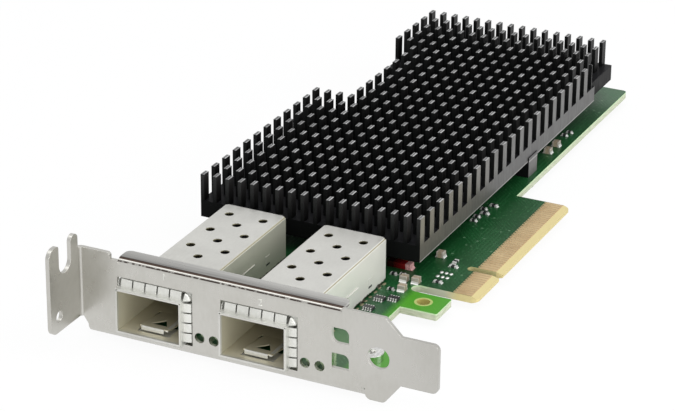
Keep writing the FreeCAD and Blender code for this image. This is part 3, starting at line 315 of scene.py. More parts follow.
def black_anodised():
    """Black anodised aluminium: dull sawn faces, painted light on the outer comb face and the pins,
    painted highlights on edges.
    """
    shade = Shade("sink_black")
    shade.set(Metallic=0.0, IOR=1.75)
    top, strip = SINK_HIGH[2], SINK_STRIP_LOW
    x, y, z = shade.axes()
    nx, ny, nz = shade.normal()
    side, sawn = shade.facing(nx), shade.facing(ny)
    up = shade.span(nz, 0.5, 0.8)
    tall = shade.span(z, top - 6.2 * MM, top - 0.4 * MM)
    saw = shade.noise(0.5 * MM, 2.0, vector=shade.mapped((1.0, 1.0, 0.15)))
    tone = shade.plus(shade.times(shade.noise(6 * MM, 4.0), 0.6), shade.times(saw, 0.4))
    plain = shade.steps(tone, [(0.3, (0.006, 0.006, 0.007)), (0.7, (0.014, 0.014, 0.015))])
    # painted light on the pins' upper parts, most on the first row
    painted_pin_light_share = shade.span(y, SINK_LOW[1] + 1.5 * MM, SINK_LOW[1] + 2.5 * MM, 1.0, 0.25)
    painted_pin_light_share = shade.times(tall, painted_pin_light_share)
    colour = shade.mix(side, plain,
                       shade.mix(painted_pin_light_share, (0.003, 0.003, 0.003), (0.024, 0.023, 0.023)))
    # outer comb face on the right: painted light, warmer towards the bracket, with a painted
    # highlight on its lower edge
    outer = shade.times(side, shade.span(x, SINK_HIGH[0] - 1.4 * MM, SINK_HIGH[0] - 1.2 * MM))
    outer = shade.times(outer, shade.span(z, strip - 0.1 * MM, strip, 0.35, 1.0))
    warm = shade.span(y, SINK_LOW[1] + 5 * MM, SINK_LOW[1] + 45 * MM)
    comb = shade.mix(warm, (0.145, 0.135, 0.108), (0.105, 0.103, 0.10))
    comb = shade.mix(shade.span(tone, 0.35, 0.7, 0.0, 0.5), comb, (0.055, 0.053, 0.05))
    # painted shade lower down the outer comb face
    comb = shade.mix(shade.span(tall, 0.0, 0.3, 0.5, 0.0), comb, (0.03, 0.03, 0.03))
    lip = shade.times(outer, shade.span(z, strip + 0.12 * MM, strip + 0.3 * MM, 1.0, 0.0))
    colour = shade.mix(lip, shade.mix(outer, colour, comb), (0.30, 0.29, 0.28))
    # pin tops: painted highlights on both long edges, dark between
    offset = shade.math("MODULO", shade.math("SUBTRACT", x, SINK_LOW[0]), FIN_PITCH)
    right = shade.band(offset, 0.56 * MM, 0.95 * MM, 0.06 * MM)
    left = shade.band(offset, -0.1 * MM, 0.2 * MM, 0.06 * MM)
    painted_highlight_dash = shade.math("MAXIMUM", right, shade.times(left, 0.7))
    painted_highlight_dash = shade.times(painted_highlight_dash, shade.span(shade.noise(4 * MM, 2.0), 0.4, 0.6, 0.45, 1.0))
    tip = shade.times(up, shade.span(z, top - 0.4 * MM, top - 0.2 * MM))
    colour = shade.mix(tip, colour,
                       shade.mix(painted_highlight_dash, (0.045, 0.045, 0.046), (0.40, 0.398, 0.395)))
    # front and rear faces: near black, with painted light on the first row's upper parts
    colour = shade.mix(sawn, colour,
                       shade.mix(painted_pin_light_share, (0.004, 0.0044, 0.0044), (0.015, 0.0155, 0.0155)))
    shade.colour(colour)
    level = shade.plus(shade.times(outer, 0.2), shade.times(tip, 0.2))
    level = shade.plus(shade.plus(level, shade.times(painted_pin_light_share, 0.12)), 0.03)
    shade.link(level, shade.shader.inputs["Specular IOR Level"])
    gloss = shade.span(saw, 0.3, 0.7, 0.32, 0.46)
    shade.rough(shade.plus(gloss, shade.times(sawn, 0.2)))
    shade.bump(saw, 0.25, 0.05 * MM, 0.1 * MM)
    return shade.material


def board_tracks(shade, x, y):
    """Tracks, in bands at 45 degrees and straight where a coarse noise allows them, and vias."""
    diagonal_pitch, straight_pitch, via_pitch = 1.1 * MM, 0.9 * MM, 2.6 * MM
    diagonal = shade.math("SINE", shade.times(shade.plus(x, y), 2 * math.pi / diagonal_pitch))
    straight = shade.math("SINE", shade.times(x, 2 * math.pi / straight_pitch))
    where = shade.noise(9 * MM, 1.0)
    other = shade.noise(12 * MM, 1.0, vector=shade.mapped((1.3, 0.6, 1.0)))
    tracks = shade.math("MAXIMUM",
                        shade.times(shade.span(diagonal, 0.55, 0.75), shade.span(where, 0.5, 0.53)),
                        shade.times(shade.span(straight, 0.5, 0.7), shade.span(other, 0.5, 0.53)))
    via = shade.add("ShaderNodeTexVoronoi")
    via.inputs["Scale"].default_value = 1.0 / via_pitch
    shade.link(shade.place, via.inputs["Vector"])
    return tracks, shade.span(via.outputs["Distance"], 0.1, 0.13, 1.0, 0.0)


def board_cut(shade, x, y, z):
    """The pale cut edge, worn and yellow beside the edge connector."""
    worn_pale, worn_yellow, worn_front = (0.47, 0.48, 0.37), (0.54, 0.46, 0.22), (0.40, 0.37, 0.18)
    grain = shade.noise(0.6 * MM, 2.0, vector=shade.mapped((0.3, 0.3, 3.0)))
    cut = shade.steps(grain, [(0.35, (0.38, 0.43, 0.29)), (0.65, (0.54, 0.56, 0.43))])
    cut = shade.mix(shade.span(z, -0.35 * MM, -0.2 * MM), cut, (0.50, 0.66, 0.40))
    at_key = shade.times(shade.span(x, MAIN_EDGE + 1 * MM, MAIN_EDGE + 2 * MM),
                         shade.span(y, TONGUE_FRONT - 0.2 * MM, TONGUE_FRONT - 0.1 * MM))
    worn = shade.mix(shade.span(x, MAIN_EDGE + 5 * MM, MAIN_EDGE + 8 * MM),
                     worn_pale, worn_yellow)
    worn = shade.mix(shade.span(y, TONGUE_FRONT + 0.5 * MM, TONGUE_FRONT + 1 * MM),
                     worn, worn_front)
    return shade.mix(at_key, cut, worn)


def solder_mask():
    """Green board: tracks and vias below the mask, brighter where no copper lies, pale edges."""
    shade = Shade("board_green")
    shade.set(Specular_IOR_Level=0.4)
    x, y, z = shade.axes()
    upright = shade.math("ABSOLUTE", shade.normal()[2])
    tracks, vias = board_tracks(shade, x, y)
    colour = shade.steps(shade.noise(20 * MM, 3.0),
                         [(0.35, (0.004, 0.046, 0.011)), (0.65, (0.008, 0.068, 0.018))])
    colour = shade.mix(shade.times(tracks, 0.4), colour, (0.018, 0.11, 0.034))
    flecks = shade.noise(0.55 * MM, 2.0, vector=shade.mapped((1.0, 0.6, 1.0)))
    colour = shade.mix(shade.span(flecks, 0.6, 0.68, 0.0, 0.55), colour, (0.05, 0.17, 0.07))
    colour = shade.mix(shade.times(vias, 0.6), colour, (0.13, 0.24, 0.14))
    # painted sheen: lighter grey-green towards the board's rear
    rear = shade.span(y, spot(0, 150).y, spot(0, 162).y, 0.0, 0.35)
    colour = shade.mix(rear, colour, (0.07, 0.17, 0.085))
    front = shade.times(shade.span(y, spot(0, 18).y, spot(0, 24).y, 0.75, 0.0),
                        shade.span(x, spot(44, 0).x, spot(48, 0).x))
    front = shade.times(front, shade.span(y, spot(0, 9).y, spot(0, 14).y, 0.45, 1.0))
    colour = shade.mix(front, colour, (0.075, 0.17, 0.07))
    # the ear and the foot, beyond the main edge, hold no copper planes
    near = shade.span(y, spot(0, 12).y, spot(0, 15).y, 3.2 * MM, 0.0)
    beyond = shade.span(shade.math("SUBTRACT", x, near),
                        MAIN_EDGE - 2.2 * MM, MAIN_EDGE + 0.2 * MM)
    before_tongue = shade.span(y, TONGUE_FRONT - 0.6 * MM, TONGUE_FRONT - 0.3 * MM, 1.0, 0.0)
    colour = shade.mix(shade.times(beyond, before_tongue), colour, (0.065, 0.28, 0.018))
    # annular ring and plated barrel of the foot's hole, which is the row frame's origin
    radius = shade.math("SQRT", shade.plus(shade.times(x, x), shade.times(y, y)))
    ring = shade.times(shade.span(radius, 1.9 * MM, 2.0 * MM, 1.0, 0.0),
                       shade.span(z, -0.2 * MM, -0.1 * MM))
    colour = shade.mix(ring, colour, (0.40, 0.46, 0.15))
    barrel = shade.times(shade.span(radius, 1.5 * MM, 1.6 * MM, 1.0, 0.0),
                         shade.span(upright, 0.3, 0.6, 1.0, 0.0))
    # bare laminate between the contacts
    laminate = shade.times(shade.span(x, CONTACT_LEFT + 0.3 * MM, CONTACT_LEFT + 0.4 * MM),
                           shade.span(y, TONGUE_FRONT, TONGUE_FRONT + 0.2 * MM))
    colour = shade.mix(laminate, colour, (0.50, 0.33, 0.18))
    edge = shade.span(upright, 0.6, 0.9, 1.0, 0.0)
    colour = shade.mix(edge, colour, board_cut(shade, x, y, z))
    colour = shade.mix(barrel, colour, (0.42, 0.36, 0.10))
    bevel = shade.span(x, BEVEL_START, BEVEL_START + 0.05 * MM)
    shade.colour(shade.mix(bevel, colour, (0.57, 0.48, 0.225)))
    gloss = shade.span(shade.noise(1.2 * MM, 2.0), 0.3, 0.7, 0.28, 0.4)
    shade.rough(shade.mix(edge, gloss, (0.75, 0.75, 0.75)))
    shade.bump(shade.plus(tracks, shade.times(vias, 0.6)), 0.35, 0.03 * MM, 0.1 * MM)
    return shade.material


def gold_plate():
    """Gold over nickel, slightly cloudy, with fine lines along the contacts."""
    shade = Shade("contact_gold")
    shade.set(Metallic=1.0)
    cloud = shade.noise(5 * MM, 3.0)
    shade.colour(shade.steps(cloud, [(0.3, (0.74, 0.56, 0.31)), (0.7, (0.86, 0.70, 0.42))]))
    shade.rough(shade.span(cloud, 0.3, 0.7, 0.3, 0.42))
    shade.bump(shade.noise(0.4 * MM, 2.0, vector=shade.mapped((0.2, 1.0, 1.0))), 0.1, 0.02 * MM)
    return shade.material


def moulded(name, colour, roughness=0.5, speck=0.35 * MM):
    """Moulded or pressed compound with a fine speckle."""
    shade = Shade(name)
    grain = shade.noise(speck, 3.0)
    low = tuple(value * 0.75 for value in colour)
    high = tuple(min(1.0, value * 1.2 + 0.004) for value in colour)
    shade.colour(shade.steps(grain, [(0.35, low), (0.65, high)]))
    shade.rough(shade.span(grain, 0.3, 0.7, roughness - 0.08, roughness + 0.08))
    shade.bump(grain, 0.15, 0.03 * MM)
    return shade.material


def fuse_red():
    """Deep red, with painted shade: nearly black towards its left end, between the cages and the
    heatsink.
    """
    shade = Shade("fuse_red")
    low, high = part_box("chip_fuse")
    grain = shade.noise(0.35 * MM, 3.0)
    # painted light and shade: dark at the left end, lighter towards the right
    painted_fuse_light = shade.plus(shade.span(shade.axes()[0], low[0] + 1.2 * MM, high[0] - 1.2 * MM, 0.0, 0.9),
                     shade.span(grain, 0.3, 0.7, -0.1, 0.1), True)
    shade.colour(shade.mix(painted_fuse_light, (0.014, 0.002, 0.002), (0.24, 0.008, 0.011)))
    shade.rough(shade.span(grain, 0.3, 0.7, 0.12, 0.2))
    shade.bump(grain, 0.15, 0.03 * MM)
    return shade.material


def tinned(name="solder_tin"):
    return plated(name, (0.80, 0.80, 0.78), (0.62, 0.62, 0.60), 0.3, 0.25 * MM, 0.3,
                  metallic=0.6, edge=0.0).material


# ------------------------------------------------------------------ geometry helpers

WELD = 0.002 * MM
PROUD = 0.025 * MM


def islands(node):
    """Boxes of the separate solids that share a node, from its mesh."""
    mesh = NODES[node].data
    keys = {}
    parent = []

    def find(item):
        while parent[item] != item:
            parent[item] = parent[parent[item]]
            item = parent[item]
        return item

    index_of = []
    for vertex in mesh.vertices:
        key = tuple(round(value / WELD) for value in vertex.co)
        if key not in keys:
            keys[key] = len(parent)
            parent.append(len(parent))
        index_of.append(keys[key])
    for polygon in mesh.polygons:
        first = find(index_of[polygon.vertices[0]])
        for other in polygon.vertices[1:]:
            parent[find(index_of[other])] = first
    boxes = {}
    for vertex, key in zip(mesh.vertices, index_of):
        root = find(key)
        low, high = boxes.setdefault(root, (vertex.co.copy(), vertex.co.copy()))
        for axis in range(3):
            low[axis] = min(low[axis], vertex.co[axis])
            high[axis] = max(high[axis], vertex.co[axis])
    return sorted(boxes.values(), key=lambda pair: (round(pair[0].y, 5), round(pair[0].x, 5)))


def finish_mesh(bm, name, materials, smooth=False):
    """Turns a bmesh into a piece that rides on the part's only body."""
    mesh = bpy.data.meshes.new(name)
    bm.normal_update()
    bm.to_mesh(mesh)
    bm.free()
    piece = bpy.data.objects.new(name, mesh)
    bpy.context.scene.collection.objects.link(piece)
    for material in materials:
        mesh.materials.append(material)
    if smooth:
        for polygon in mesh.polygons:
            polygon.use_smooth = True
    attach(piece, "root")
    return piece


def add_block(bm, low, high, edge=0.0, material=0, segments=2):
    """A block with rounded edges."""
    low = Vector(low)
    high = Vector(high)
    made = bmesh.ops.create_cube(bm, size=1.0)
    size = high - low
    centre = (high + low) / 2
    for vertex in made["verts"]:
        vertex.co = Vector([centre[axis] + vertex.co[axis] * size[axis] for axis in range(3)])
    for vertex in made["verts"]:
        for face in vertex.link_faces:
            face.material_index = material
    if edge > 0:
        edges = list({item for vertex in made["verts"] for item in vertex.link_edges})
        done = bmesh.ops.bevel(bm, geom=edges, offset=edge, segments=segments, profile=0.5,
                               affect="EDGES")
        for face in done["faces"]:
            face.material_index = material


def add_dome(bm, centre, across, deep, tall, rings=3, sides=12):
    """A low dome on the plane of its centre; tall may be negative for one that hangs down."""
    centre = Vector(centre)
    rows = []
    for ring in range(rings):
        angle = math.pi / 2 * ring / rings
        row = []
        for side in range(sides):
            turn = 2 * math.pi * side / sides
            out = Vector((math.cos(turn) * across / 2 * math.cos(angle),
                          math.sin(turn) * deep / 2 * math.cos(angle), tall * math.sin(angle)))
            row.append(bm.verts.new(centre + out))
        rows.append(row)
    top = bm.verts.new(centre + Vector((0, 0, tall)))
    for lower, upper in zip(rows, rows[1:]):
        for side in range(sides):
            after = (side + 1) % sides
            bm.faces.new((lower[side], lower[after], upper[after], upper[side]))
    for side in range(sides):
        bm.faces.new((rows[-1][side], rows[-1][(side + 1) % sides], top))


def add_fillet(bm, low, high, axis, side, reach, rise, material=0):
    """A wedge of solder at one end of a part that stands on the board."""
    edge = high[axis] if side > 0 else low[axis]
    other = 1 - axis
    profile = (0.0, 0.0), (reach, 0.0), (reach * 0.35, rise * 0.4), (0.0, rise)
    points = []
    for across in (low[other], high[other]):
        for out, up in profile:
            point = [0.0, 0.0, low[2] + up]
            point[axis] = edge + side * out
            point[other] = across
            points.append(bm.verts.new(point))
    one, two = points[:4], points[4:]
    for index in range(4):
        after = (index + 1) % 4
        face = bm.faces.new((one[index], one[after], two[after], two[index]))
        face.material_index = material
    for end in (one, two):
        bm.faces.new(end).material_index = material


def add_ends(bm, low, high, axis, share, material=0, fillet=0.3 * MM, solder=0):
    """Metal ends on a chip part, a hair proud of its body, each with its solder."""
    length = (high[axis] - low[axis]) * share
    for side in (-1, 1):
        start = low - Vector((PROUD, PROUD, 0.0))
        end = high + Vector((PROUD, PROUD, PROUD))
        if side < 0:
            end[axis] = low[axis] + length
        else:
            start[axis] = high[axis] - length
        add_block(bm, start, end, 0.07 * MM, material)
        add_fillet(bm, start, end, axis, side, fillet, (high[2] - low[2]) * 0.4, solder)


def outward(place, side, start, end):
    """Two places, start and end away from one in the direction of side, lower one first."""
    return sorted((place + side * start, place + side * end))


# ------------------------------------------------------------------ finish of the nodes

METAL = cage_metal()
SPRING = spring_metal()
DULL_TIN = plated("dull_tin", (0.50, 0.46, 0.40), (0.34, 0.31, 0.26), 0.45, 0.3 * MM, 0.3,
                  metallic=0.3, edge=0.0).material
# pink of the fuse's right end cap: a painted highlight
FUSE_CAP_PAINTED_HIGHLIGHT = moulded("fuse_cap_painted_highlight", (0.66, 0.36, 0.35), 0.2)
OLD_SOLDER = plated("ground_solder", (0.42, 0.38, 0.24), (0.10, 0.09, 0.05), 0.4, 0.3 * MM, 0.3,
                    metallic=0.5, edge=0.0).material
BLACK_PLASTIC = moulded("socket_plastic", (0.02, 0.02, 0.022), 0.45)
PACKAGE = moulded("chip_package", (0.028, 0.028, 0.03), 0.5)
TIN = tinned()
FINISHES = {
    "circuit_board": solder_mask(),
    "edge_contacts": gold_plate(),
    "bracket": bracket_metal(),
    "bracket_screws": screw_metal(),
    "heatsink_screws": screw_metal(),
    "cage_left": METAL,
    "cage_right": METAL,
    "collar_left": SPRING,
    "collar_right": SPRING,
    "port_connector_left": BLACK_PLASTIC,
    "port_connector_right": BLACK_PLASTIC,
    "status_lights": moulded("light_plastic", (0.32, 0.41, 0.26), 0.3),
    "heatsink": black_anodised(),
    "controller_chip": PACKAGE,
    "thermal_pad": moulded("pad_grey", (0.3, 0.31, 0.34), 0.7),
    "ceramic_capacitors": moulded("ceramic", (0.33, 0.27, 0.19), 0.4, 0.2 * MM),
    "chip_resistors": moulded("resistor_black", (0.02, 0.02, 0.022), 0.3, 0.2 * MM),
    "resistor_arrays": moulded("array_black", (0.02, 0.02, 0.022), 0.35, 0.2 * MM),
    "contact_pads": TIN,
    "chip_fuse": fuse_red(),
    "power_inductors": moulded("inductor_grey", (0.07, 0.07, 0.075), 0.6, 0.25 * MM),
    "power_capacitors": moulded("capacitor_tan", (0.40, 0.28, 0.14), 0.4),
    "flash_memory": PACKAGE,
    "power_regulator": PACKAGE,
    "clock_crystal": tinned("crystal_metal"),
}
for node, material in FINISHES.items():
    mesh = NODES[node].data
    if not mesh.materials:
        mesh.materials.append(material)
    for index in range(len(mesh.materials)):
        mesh.materials[index] = material

# ------------------------------------------------------------------ detail pieces

def chip_ends():
    """Tinned ends of the capacitors and resistors, and the fuse's right end cap, pink as a painted
    highlight.
    """
    tin, dull, cap = 0, 1, 2
    cap_length = 1.2 * MM
    bm = bmesh.new()
    for low, high in islands("ceramic_capacitors"):
        add_ends(bm, low, high, 0 if low.y > spot(0, 55).y else 1, 0.24, dull)
    for node, axis in (("chip_resistors", 0), ("power_capacitors", 1)):
        for low, high in islands(node):
            add_ends(bm, low, high, axis, 0.26, tin)
    # the fuse's right end cap, whose pink is a painted highlight
    low, high = islands("chip_fuse")[0]
    low.x = high.x - cap_length
    proud = Vector((PROUD, PROUD, PROUD))
    add_block(bm, low - proud, high + proud, 0.1 * MM, cap)
    add_fillet(bm, low, high + proud, 0, 1, 0.35 * MM, 0.5 * MM, cap)
    bmesh.ops.recalc_face_normals(bm, faces=bm.faces)
    finish_mesh(bm, "chip_ends", [TIN, DULL_TIN, FUSE_CAP_PAINTED_HIGHLIGHT])


def array_leads():
    """Four tinned terminals on the front and rear of each resistor array."""
    bm = bmesh.new()
    for low, high in islands("resistor_arrays"):
        pitch = (high.x - low.x) / 4
        tops = low.z + 0.2 * MM, high.z + 0.03 * MM
        for index in range(4):
            x = low.x + pitch * (index + 0.5)
            for side, y in ((-1, low.y), (1, high.y)):
                for half, inner, outer, top in ((0.17, 0.22, 0.4, tops[0]),
                                                (0.16, 0.2, 0.06, tops[1])):
                    front, rear = outward(y, side, -inner * MM, outer * MM)
                    add_block(bm, (x - half * MM, front, low.z), (x + half * MM, rear, top),
                              0.05 * MM)
    finish_mesh(bm, "array_leads", [TIN])


def bare_pads():
    """Six pads wetted with solder, in place of the flat ones."""
    bm = bmesh.new()
    for y in (51.8, 53.85):
        for x in (56.0, 57.1, 58.2):
            add_dome(bm, spot(x, y), 0.82 * MM, 1.05 * MM, 0.16 * MM)
    piece = finish_mesh(bm, "bare_pads", [TIN], True)
    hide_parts("contact_pads")


def extra_resistors():
    """Small resistors along the board's right side: place in millimetres, and long axis."""
    half_length, half_width, tall = 0.85 * MM, 0.45 * MM, 0.45 * MM
    bodies = bmesh.new()
    ends = bmesh.new()
    for x, y, axis in ((57.2, 57.2, 0), (56.7, 59.5, 1), (57.3, 48.9, 0), (52.4, 85.2, 0),
                       (52.6, 89.8, 0)):
        half = [half_width, half_width]
        half[axis] = half_length
        middle = spot(x, y)
        low = middle - Vector((*half, 0.0))
        high = middle + Vector((*half, tall))
        add_block(bodies, low, high, 0.05 * MM)
        add_ends(ends, low, high, axis, 0.3, fillet=0.25 * MM)
    bmesh.ops.recalc_face_normals(ends, faces=ends.faces)
    finish_mesh(bodies, "extra_resistor_bodies", [FINISHES["chip_resistors"]])
    finish_mesh(ends, "extra_resistor_ends", [TIN])


def cage_pressings():
    """Ribs and locking lances pressed out of both walls of each cage, with black blocks as painted
    shade in the lances' slits.
    """
    rib_half, lance_half, slit_half = 2.6, 0.9, 0.75
    places = (27.6, 4.6, 36.2, 3.4), (28.5, 4.1, 36.9, 3.0)
    bm = bmesh.new()
    dark = bmesh.new()
    for middle, (rib_y, rib_z, lance_y, lance_z) in zip(CAGE_MIDDLES, places):
        for side in (1, -1):
            wall = middle + side * CAGE_HALF
            left, right = outward(wall, side, -0.05, 0.22)
            add_block(bm, spot(left, rib_y - rib_half, rib_z),
                      spot(right, rib_y + rib_half, rib_z + 0.4), 0.12 * MM)
            left, right = outward(wall, side, -0.05, 0.08)
            add_block(bm, spot(left, lance_y - lance_half, lance_z - 0.9),
                      spot(right, lance_y + lance_half, lance_z + 1.1), 0.06 * MM, segments=3)
            # black block just outside the wall: painted shade of the lance's slit
            left, right = outward(wall, side, 0.02, 0.1)
            add_block(dark, spot(left, lance_y - slit_half, lance_z - 1.1),
                      spot(right, lance_y + slit_half, lance_z - 0.65), 0.03 * MM)
    finish_mesh(bm, "cage_pressings", [METAL])
    finish_mesh(dark, "cage_lance_slit_painted_shade", [BLACK_PLASTIC])


def ground_pads():
    """Worn solder along the feet of the cages, on the board."""
    pads, pitch, first = 17, 2.2, 8.0
    bm = bmesh.new()
    for middle in CAGE_MIDDLES:
        for side in (-1, 1):
            x = middle + side * (CAGE_HALF + 0.3)
            for index in range(pads):
                y = first + index * pitch + random.uniform(-0.25, 0.25)
                length = random.uniform(0.9, 1.5) * MM
                width = random.uniform(0.55, 0.8) * MM
                add_dome(bm, spot(x, y), width, length, 0.07 * MM, rings=2, sides=10)
    finish_mesh(bm, "ground_pads", [OLD_SOLDER], True)


def latch_lips():
    """The bright turned-down lip at the front of each cage's latch."""
    bm = bmesh.new()
    for middle in CAGE_MIDDLES:
        add_block(bm, spot(middle - 2.9, 0.42, 0.95), spot(middle + 2.3, 0.72, 1.98),
                  0.12 * MM, segments=3)
        add_block(bm, spot(middle + 2.5, 0.62, 1.55), spot(middle + 3.2, 6.5, 1.85), 0.08 * MM)
    finish_mesh(bm, "latch_lips", [SPRING])


def corner_fingers():
    """The spring fingers that fold round the upper corners of each cage's collar."""
    # the leaf's profile: distance behind the bracket's face, and share of its full height
    leaf = ((-0.50, 0.08), (-0.42, 0.30), (-0.33, 0.62), (-0.18, 0.86), (0.05, 0.96),
            (0.35, 1.0), (0.8, 0.95), (1.6, 0.62), (2.6, 0.25), (3.3, 0.08))
    # side of the cage, reach beyond its wall, and first and last angle round the corner
    corners = (1, 1.62, 8, 80), (-1, 0.36, 4, 86)
    rise = 1.68
    around = 9
    bm = bmesh.new()
    for middle in CAGE_MIDDLES:
        for side, wide, first, last in corners:
            sheet = []
            for y, out in leaf:
                line = []
                for index in range(around):
                    turn = math.radians(first + (last - first) * index / (around - 1))
                    x = middle + side * (CAGE_HALF + wide * out * math.cos(turn))
                    z = CAGE_TOP + rise * out * math.sin(turn)
                    line.append(bm.verts.new(spot(x, y, z)))
                sheet.append(line)
            for one, two in zip(sheet, sheet[1:]):
                for index in range(around - 1):
                    bm.faces.new((one[index], one[index + 1], two[index + 1], two[index]))
    bmesh.ops.recalc_face_normals(bm, faces=bm.faces)
    bmesh.ops.solidify(bm, geom=bm.faces[:], thickness=0.1 * MM)
    bmesh.ops.recalc_face_normals(bm, faces=bm.faces)
    finish_mesh(bm, "corner_fingers", [SPRING])


def port_numerals():
    """Raised numerals 1 and 2 over the ports."""
    upright = Matrix.Rotation(math.pi / 2, 4, "X")
    for text, x, z in (("1", 18.8, 13.4), ("2", 40.3, 12.6)):
        letter = bpy.data.curves.new("numeral_line", "FONT")
        letter.body = text
        letter.size = 2.2 * MM
        letter.extrude = 0.05 * MM
        letter.bevel_depth = 0.015 * MM
        holder = bpy.data.objects.new("numeral_holder", letter)
        mesh = bpy.data.meshes.new_from_object(holder)
        bpy.data.objects.remove(holder)
        bm = bmesh.new()
        bm.from_mesh(mesh)
        bpy.data.meshes.remove(mesh)
        turn = Matrix.Translation(spot(x, -0.02, z)) @ upright
        bmesh.ops.transform(bm, matrix=turn, verts=bm.verts)
        finish_mesh(bm, "port_numeral_" + text, [SPRING])


def under_side():
    """Decoupling capacitors below the controller and solder round the cages' pins."""
    tall, end_length = 0.5 * MM, 0.42 * MM
    half_long, half_short = 0.8 * MM, 0.4 * MM
    proud = Vector((0.02, 0.02, 0.02)) * MM
    bodies = bmesh.new()
    ends = bmesh.new()
    for row in range(4):
        for column in range(5):
            if (row + column) % 3 == 2:
                continue
            middle = spot(18.5 + column * 4.5, 76.5 + row * 5.0, BOARD_BELOW)
            axis = 0 if column % 2 else 1
            half = Vector((half_short, half_short, 0.0))
            half[axis] = half_long
            low = middle - half - Vector((0.0, 0.0, tall))
            high = middle + half
            add_block(bodies, low, high, 0.05 * MM)
            for side in (0, 1):
                start = low - proud
                end = high + Vector((proud.x, proud.y, 0.0))
                if side:
                    start[axis] = high[axis] - end_length
                else:
                    end[axis] = low[axis] + end_length
                add_block(ends, start, end, 0.06 * MM)
    for middle in CAGE_MIDDLES:
        for side in (-1, 1):
            for index in range(5):
                place = spot(middle + side * (CAGE_HALF - 0.15), 9.0 + index * 8.2, BOARD_BELOW)
                add_dome(ends, place, 1.7 * MM, 2.0 * MM, -0.45 * MM)
    bmesh.ops.recalc_face_normals(ends, faces=ends.faces)
    finish_mesh(bodies, "underside_capacitors", [FINISHES["ceramic_capacitors"]])
    finish_mesh(ends, "underside_solder", [TIN])


chip_ends()
array_leads()
bare_pads()
extra_resistors()
cage_pressings()
ground_pads()
latch_lips()
corner_fingers()
port_numerals()
under_side()

# ------------------------------------------------------------------ floor, light, camera

GLOW_SHARE = 0.93
REFLECTED_WHITE = 0.8
MIDDLE = Vector([(cad_box[0][axis] + cad_box[1][axis]) / 2 for axis in range(3)])
# name, place in metres, side length in metres, watts
LAMPS = (("key_light", (0.12, -0.1, 0.95), 1.4, 8.2),
         ("front_light", (0.5, -0.85, 0.22), 0.5, 4.5),
         ("side_light", (0.9, 0.2, 0.4), 0.6, 3.5))
# place in metres; azimuth, elevation and roll in radians; focal length in millimetres
CAMERA_PLACE = (0.209716, -0.475011, 0.257161)
CAMERA_TURN = (0.4506, 0.4259, 0.0079)
LENS_LENGTH = 149.58
LENS_SHIFT = (0.0013, -0.0003)


def white_for_the_view(tree, plain, white, output, share=1.0):
    """Shows plain, with a share of white over it for camera, glossy and transmission rays."""
    path = tree.nodes.new("ShaderNodeLightPath")
    total = path.outputs["Is Camera Ray"]
    for name in ("Is Glossy Ray", "Is Transmission Ray"):
        add = tree.nodes.new("ShaderNodeMath")
        add.operation = "ADD"
        add.use_clamp = True
        tree.links.new(total, add.inputs[0])
        tree.links.new(path.outputs[name], add.inputs[1])
        total = add.outputs[0]
    part = tree.nodes.new("ShaderNodeMath")
    part.operation = "MULTIPLY"
    part.inputs[1].default_value = share
    tree.links.new(total, part.inputs[0])
    blend = tree.nodes.new("ShaderNodeMixShader")
    tree.links.new(part.outputs[0], blend.inputs["Fac"])
    tree.links.new(plain, blend.inputs[1])
    tree.links.new(white, blend.inputs[2])
    tree.links.new(blend.outputs["Shader"], output.inputs["Surface"])


def make_floor():
    """A white floor just below the part, wide enough to reach the horizon in low views."""
    level = cad_box[0][2] - 0.05 * MM
    half = 12.0
    bm = bmesh.new()
    bm.faces.new([bm.verts.new((x * half, y * half, level))
                  for x, y in ((-1, -1), (1, -1), (1, 1), (-1, 1))])
    mesh = bpy.data.meshes.new("floor")
    bm.to_mesh(mesh)
    bm.free()
    floor = bpy.data.objects.new("floor", mesh)
    bpy.context.scene.collection.objects.link(floor)
    material = bpy.data.materials.new("floor_white")
    material.use_nodes = True
    tree = material.node_tree
    shader = tree.nodes["Principled BSDF"]
    shader.inputs["Base Color"].default_value = (0.86, 0.86, 0.86, 1.0)
    shader.inputs["Roughness"].default_value = 0.9
    glow = tree.nodes.new("ShaderNodeEmission")
    glow.inputs["Strength"].default_value = 1.0
    white_for_the_view(tree, shader.outputs["BSDF"], glow.outputs["Emission"],
                       tree.nodes["Material Output"], GLOW_SHARE)
    mesh.materials.append(material)


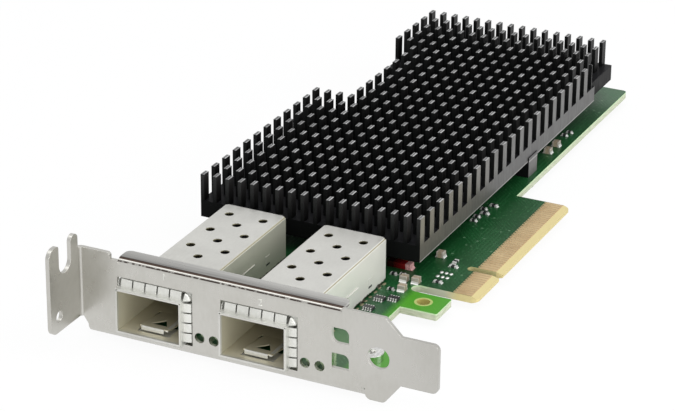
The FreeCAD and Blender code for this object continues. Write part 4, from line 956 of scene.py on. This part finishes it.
def make_world():
    """Soft sky light, seen as plain white by the camera and slightly dimmer in reflections."""
    world = bpy.data.worlds.new("studio")
    bpy.context.scene.world = world
    world.use_nodes = True
    tree = world.node_tree
    plain = tree.nodes["Background"]
    plain.inputs["Color"].default_value = (0.95, 0.97, 1.0, 1.0)
    plain.inputs["Strength"].default_value = 0.55
    white = tree.nodes.new("ShaderNodeBackground")
    white.inputs["Color"].default_value = (1.0, 1.0, 1.0, 1.0)
    path = tree.nodes.new("ShaderNodeLightPath")
    level = tree.nodes.new("ShaderNodeMapRange")
    level.inputs["To Min"].default_value = REFLECTED_WHITE
    level.inputs["To Max"].default_value = 1.0
    tree.links.new(path.outputs["Is Camera Ray"], level.inputs["Value"])
    tree.links.new(level.outputs["Result"], white.inputs["Strength"])
    white_for_the_view(tree, plain.outputs["Background"], white.outputs["Background"],
                       tree.nodes["World Output"])


def area_light(name, place, size, power):
    """A square lamp, in metres and watts, that looks at the middle of the part."""
    light = bpy.data.lights.new(name, "AREA")
    light.energy = power
    light.size = size
    lamp = bpy.data.objects.new(name, light)
    lamp.location = place
    lamp.rotation_euler = (MIDDLE - Vector(place)).to_track_quat("-Z", "Y").to_euler()
    bpy.context.scene.collection.objects.link(lamp)


def make_camera():
    """The photograph's viewpoint, fitted to places of known size on the card."""
    azimuth, elevation, roll = CAMERA_TURN
    forward = Vector((-math.sin(azimuth) * math.cos(elevation),
                      math.cos(azimuth) * math.cos(elevation), -math.sin(elevation)))
    level = Vector((math.cos(azimuth), math.sin(azimuth), 0.0))
    upward = level.cross(forward)
    right = math.cos(roll) * level + math.sin(roll) * upward
    up = -math.sin(roll) * level + math.cos(roll) * upward
    lens = bpy.data.cameras.new("camera")
    lens.sensor_width = 36.0
    lens.lens = LENS_LENGTH
    lens.shift_x, lens.shift_y = LENS_SHIFT
    lens.clip_start = 0.02
    camera = bpy.data.objects.new("camera", lens)
    turn = Matrix((right, up, -forward)).transposed().to_4x4()
    camera.matrix_world = Matrix.Translation(CAMERA_PLACE) @ turn
    bpy.context.scene.collection.objects.link(camera)
    bpy.context.scene.camera = camera


make_floor()
make_world()
for lamp_name, lamp_place, lamp_size, lamp_power in LAMPS:
    area_light(lamp_name, lamp_place, lamp_size, lamp_power)
make_camera()

bpy.context.scene.view_settings.view_transform = "Standard"
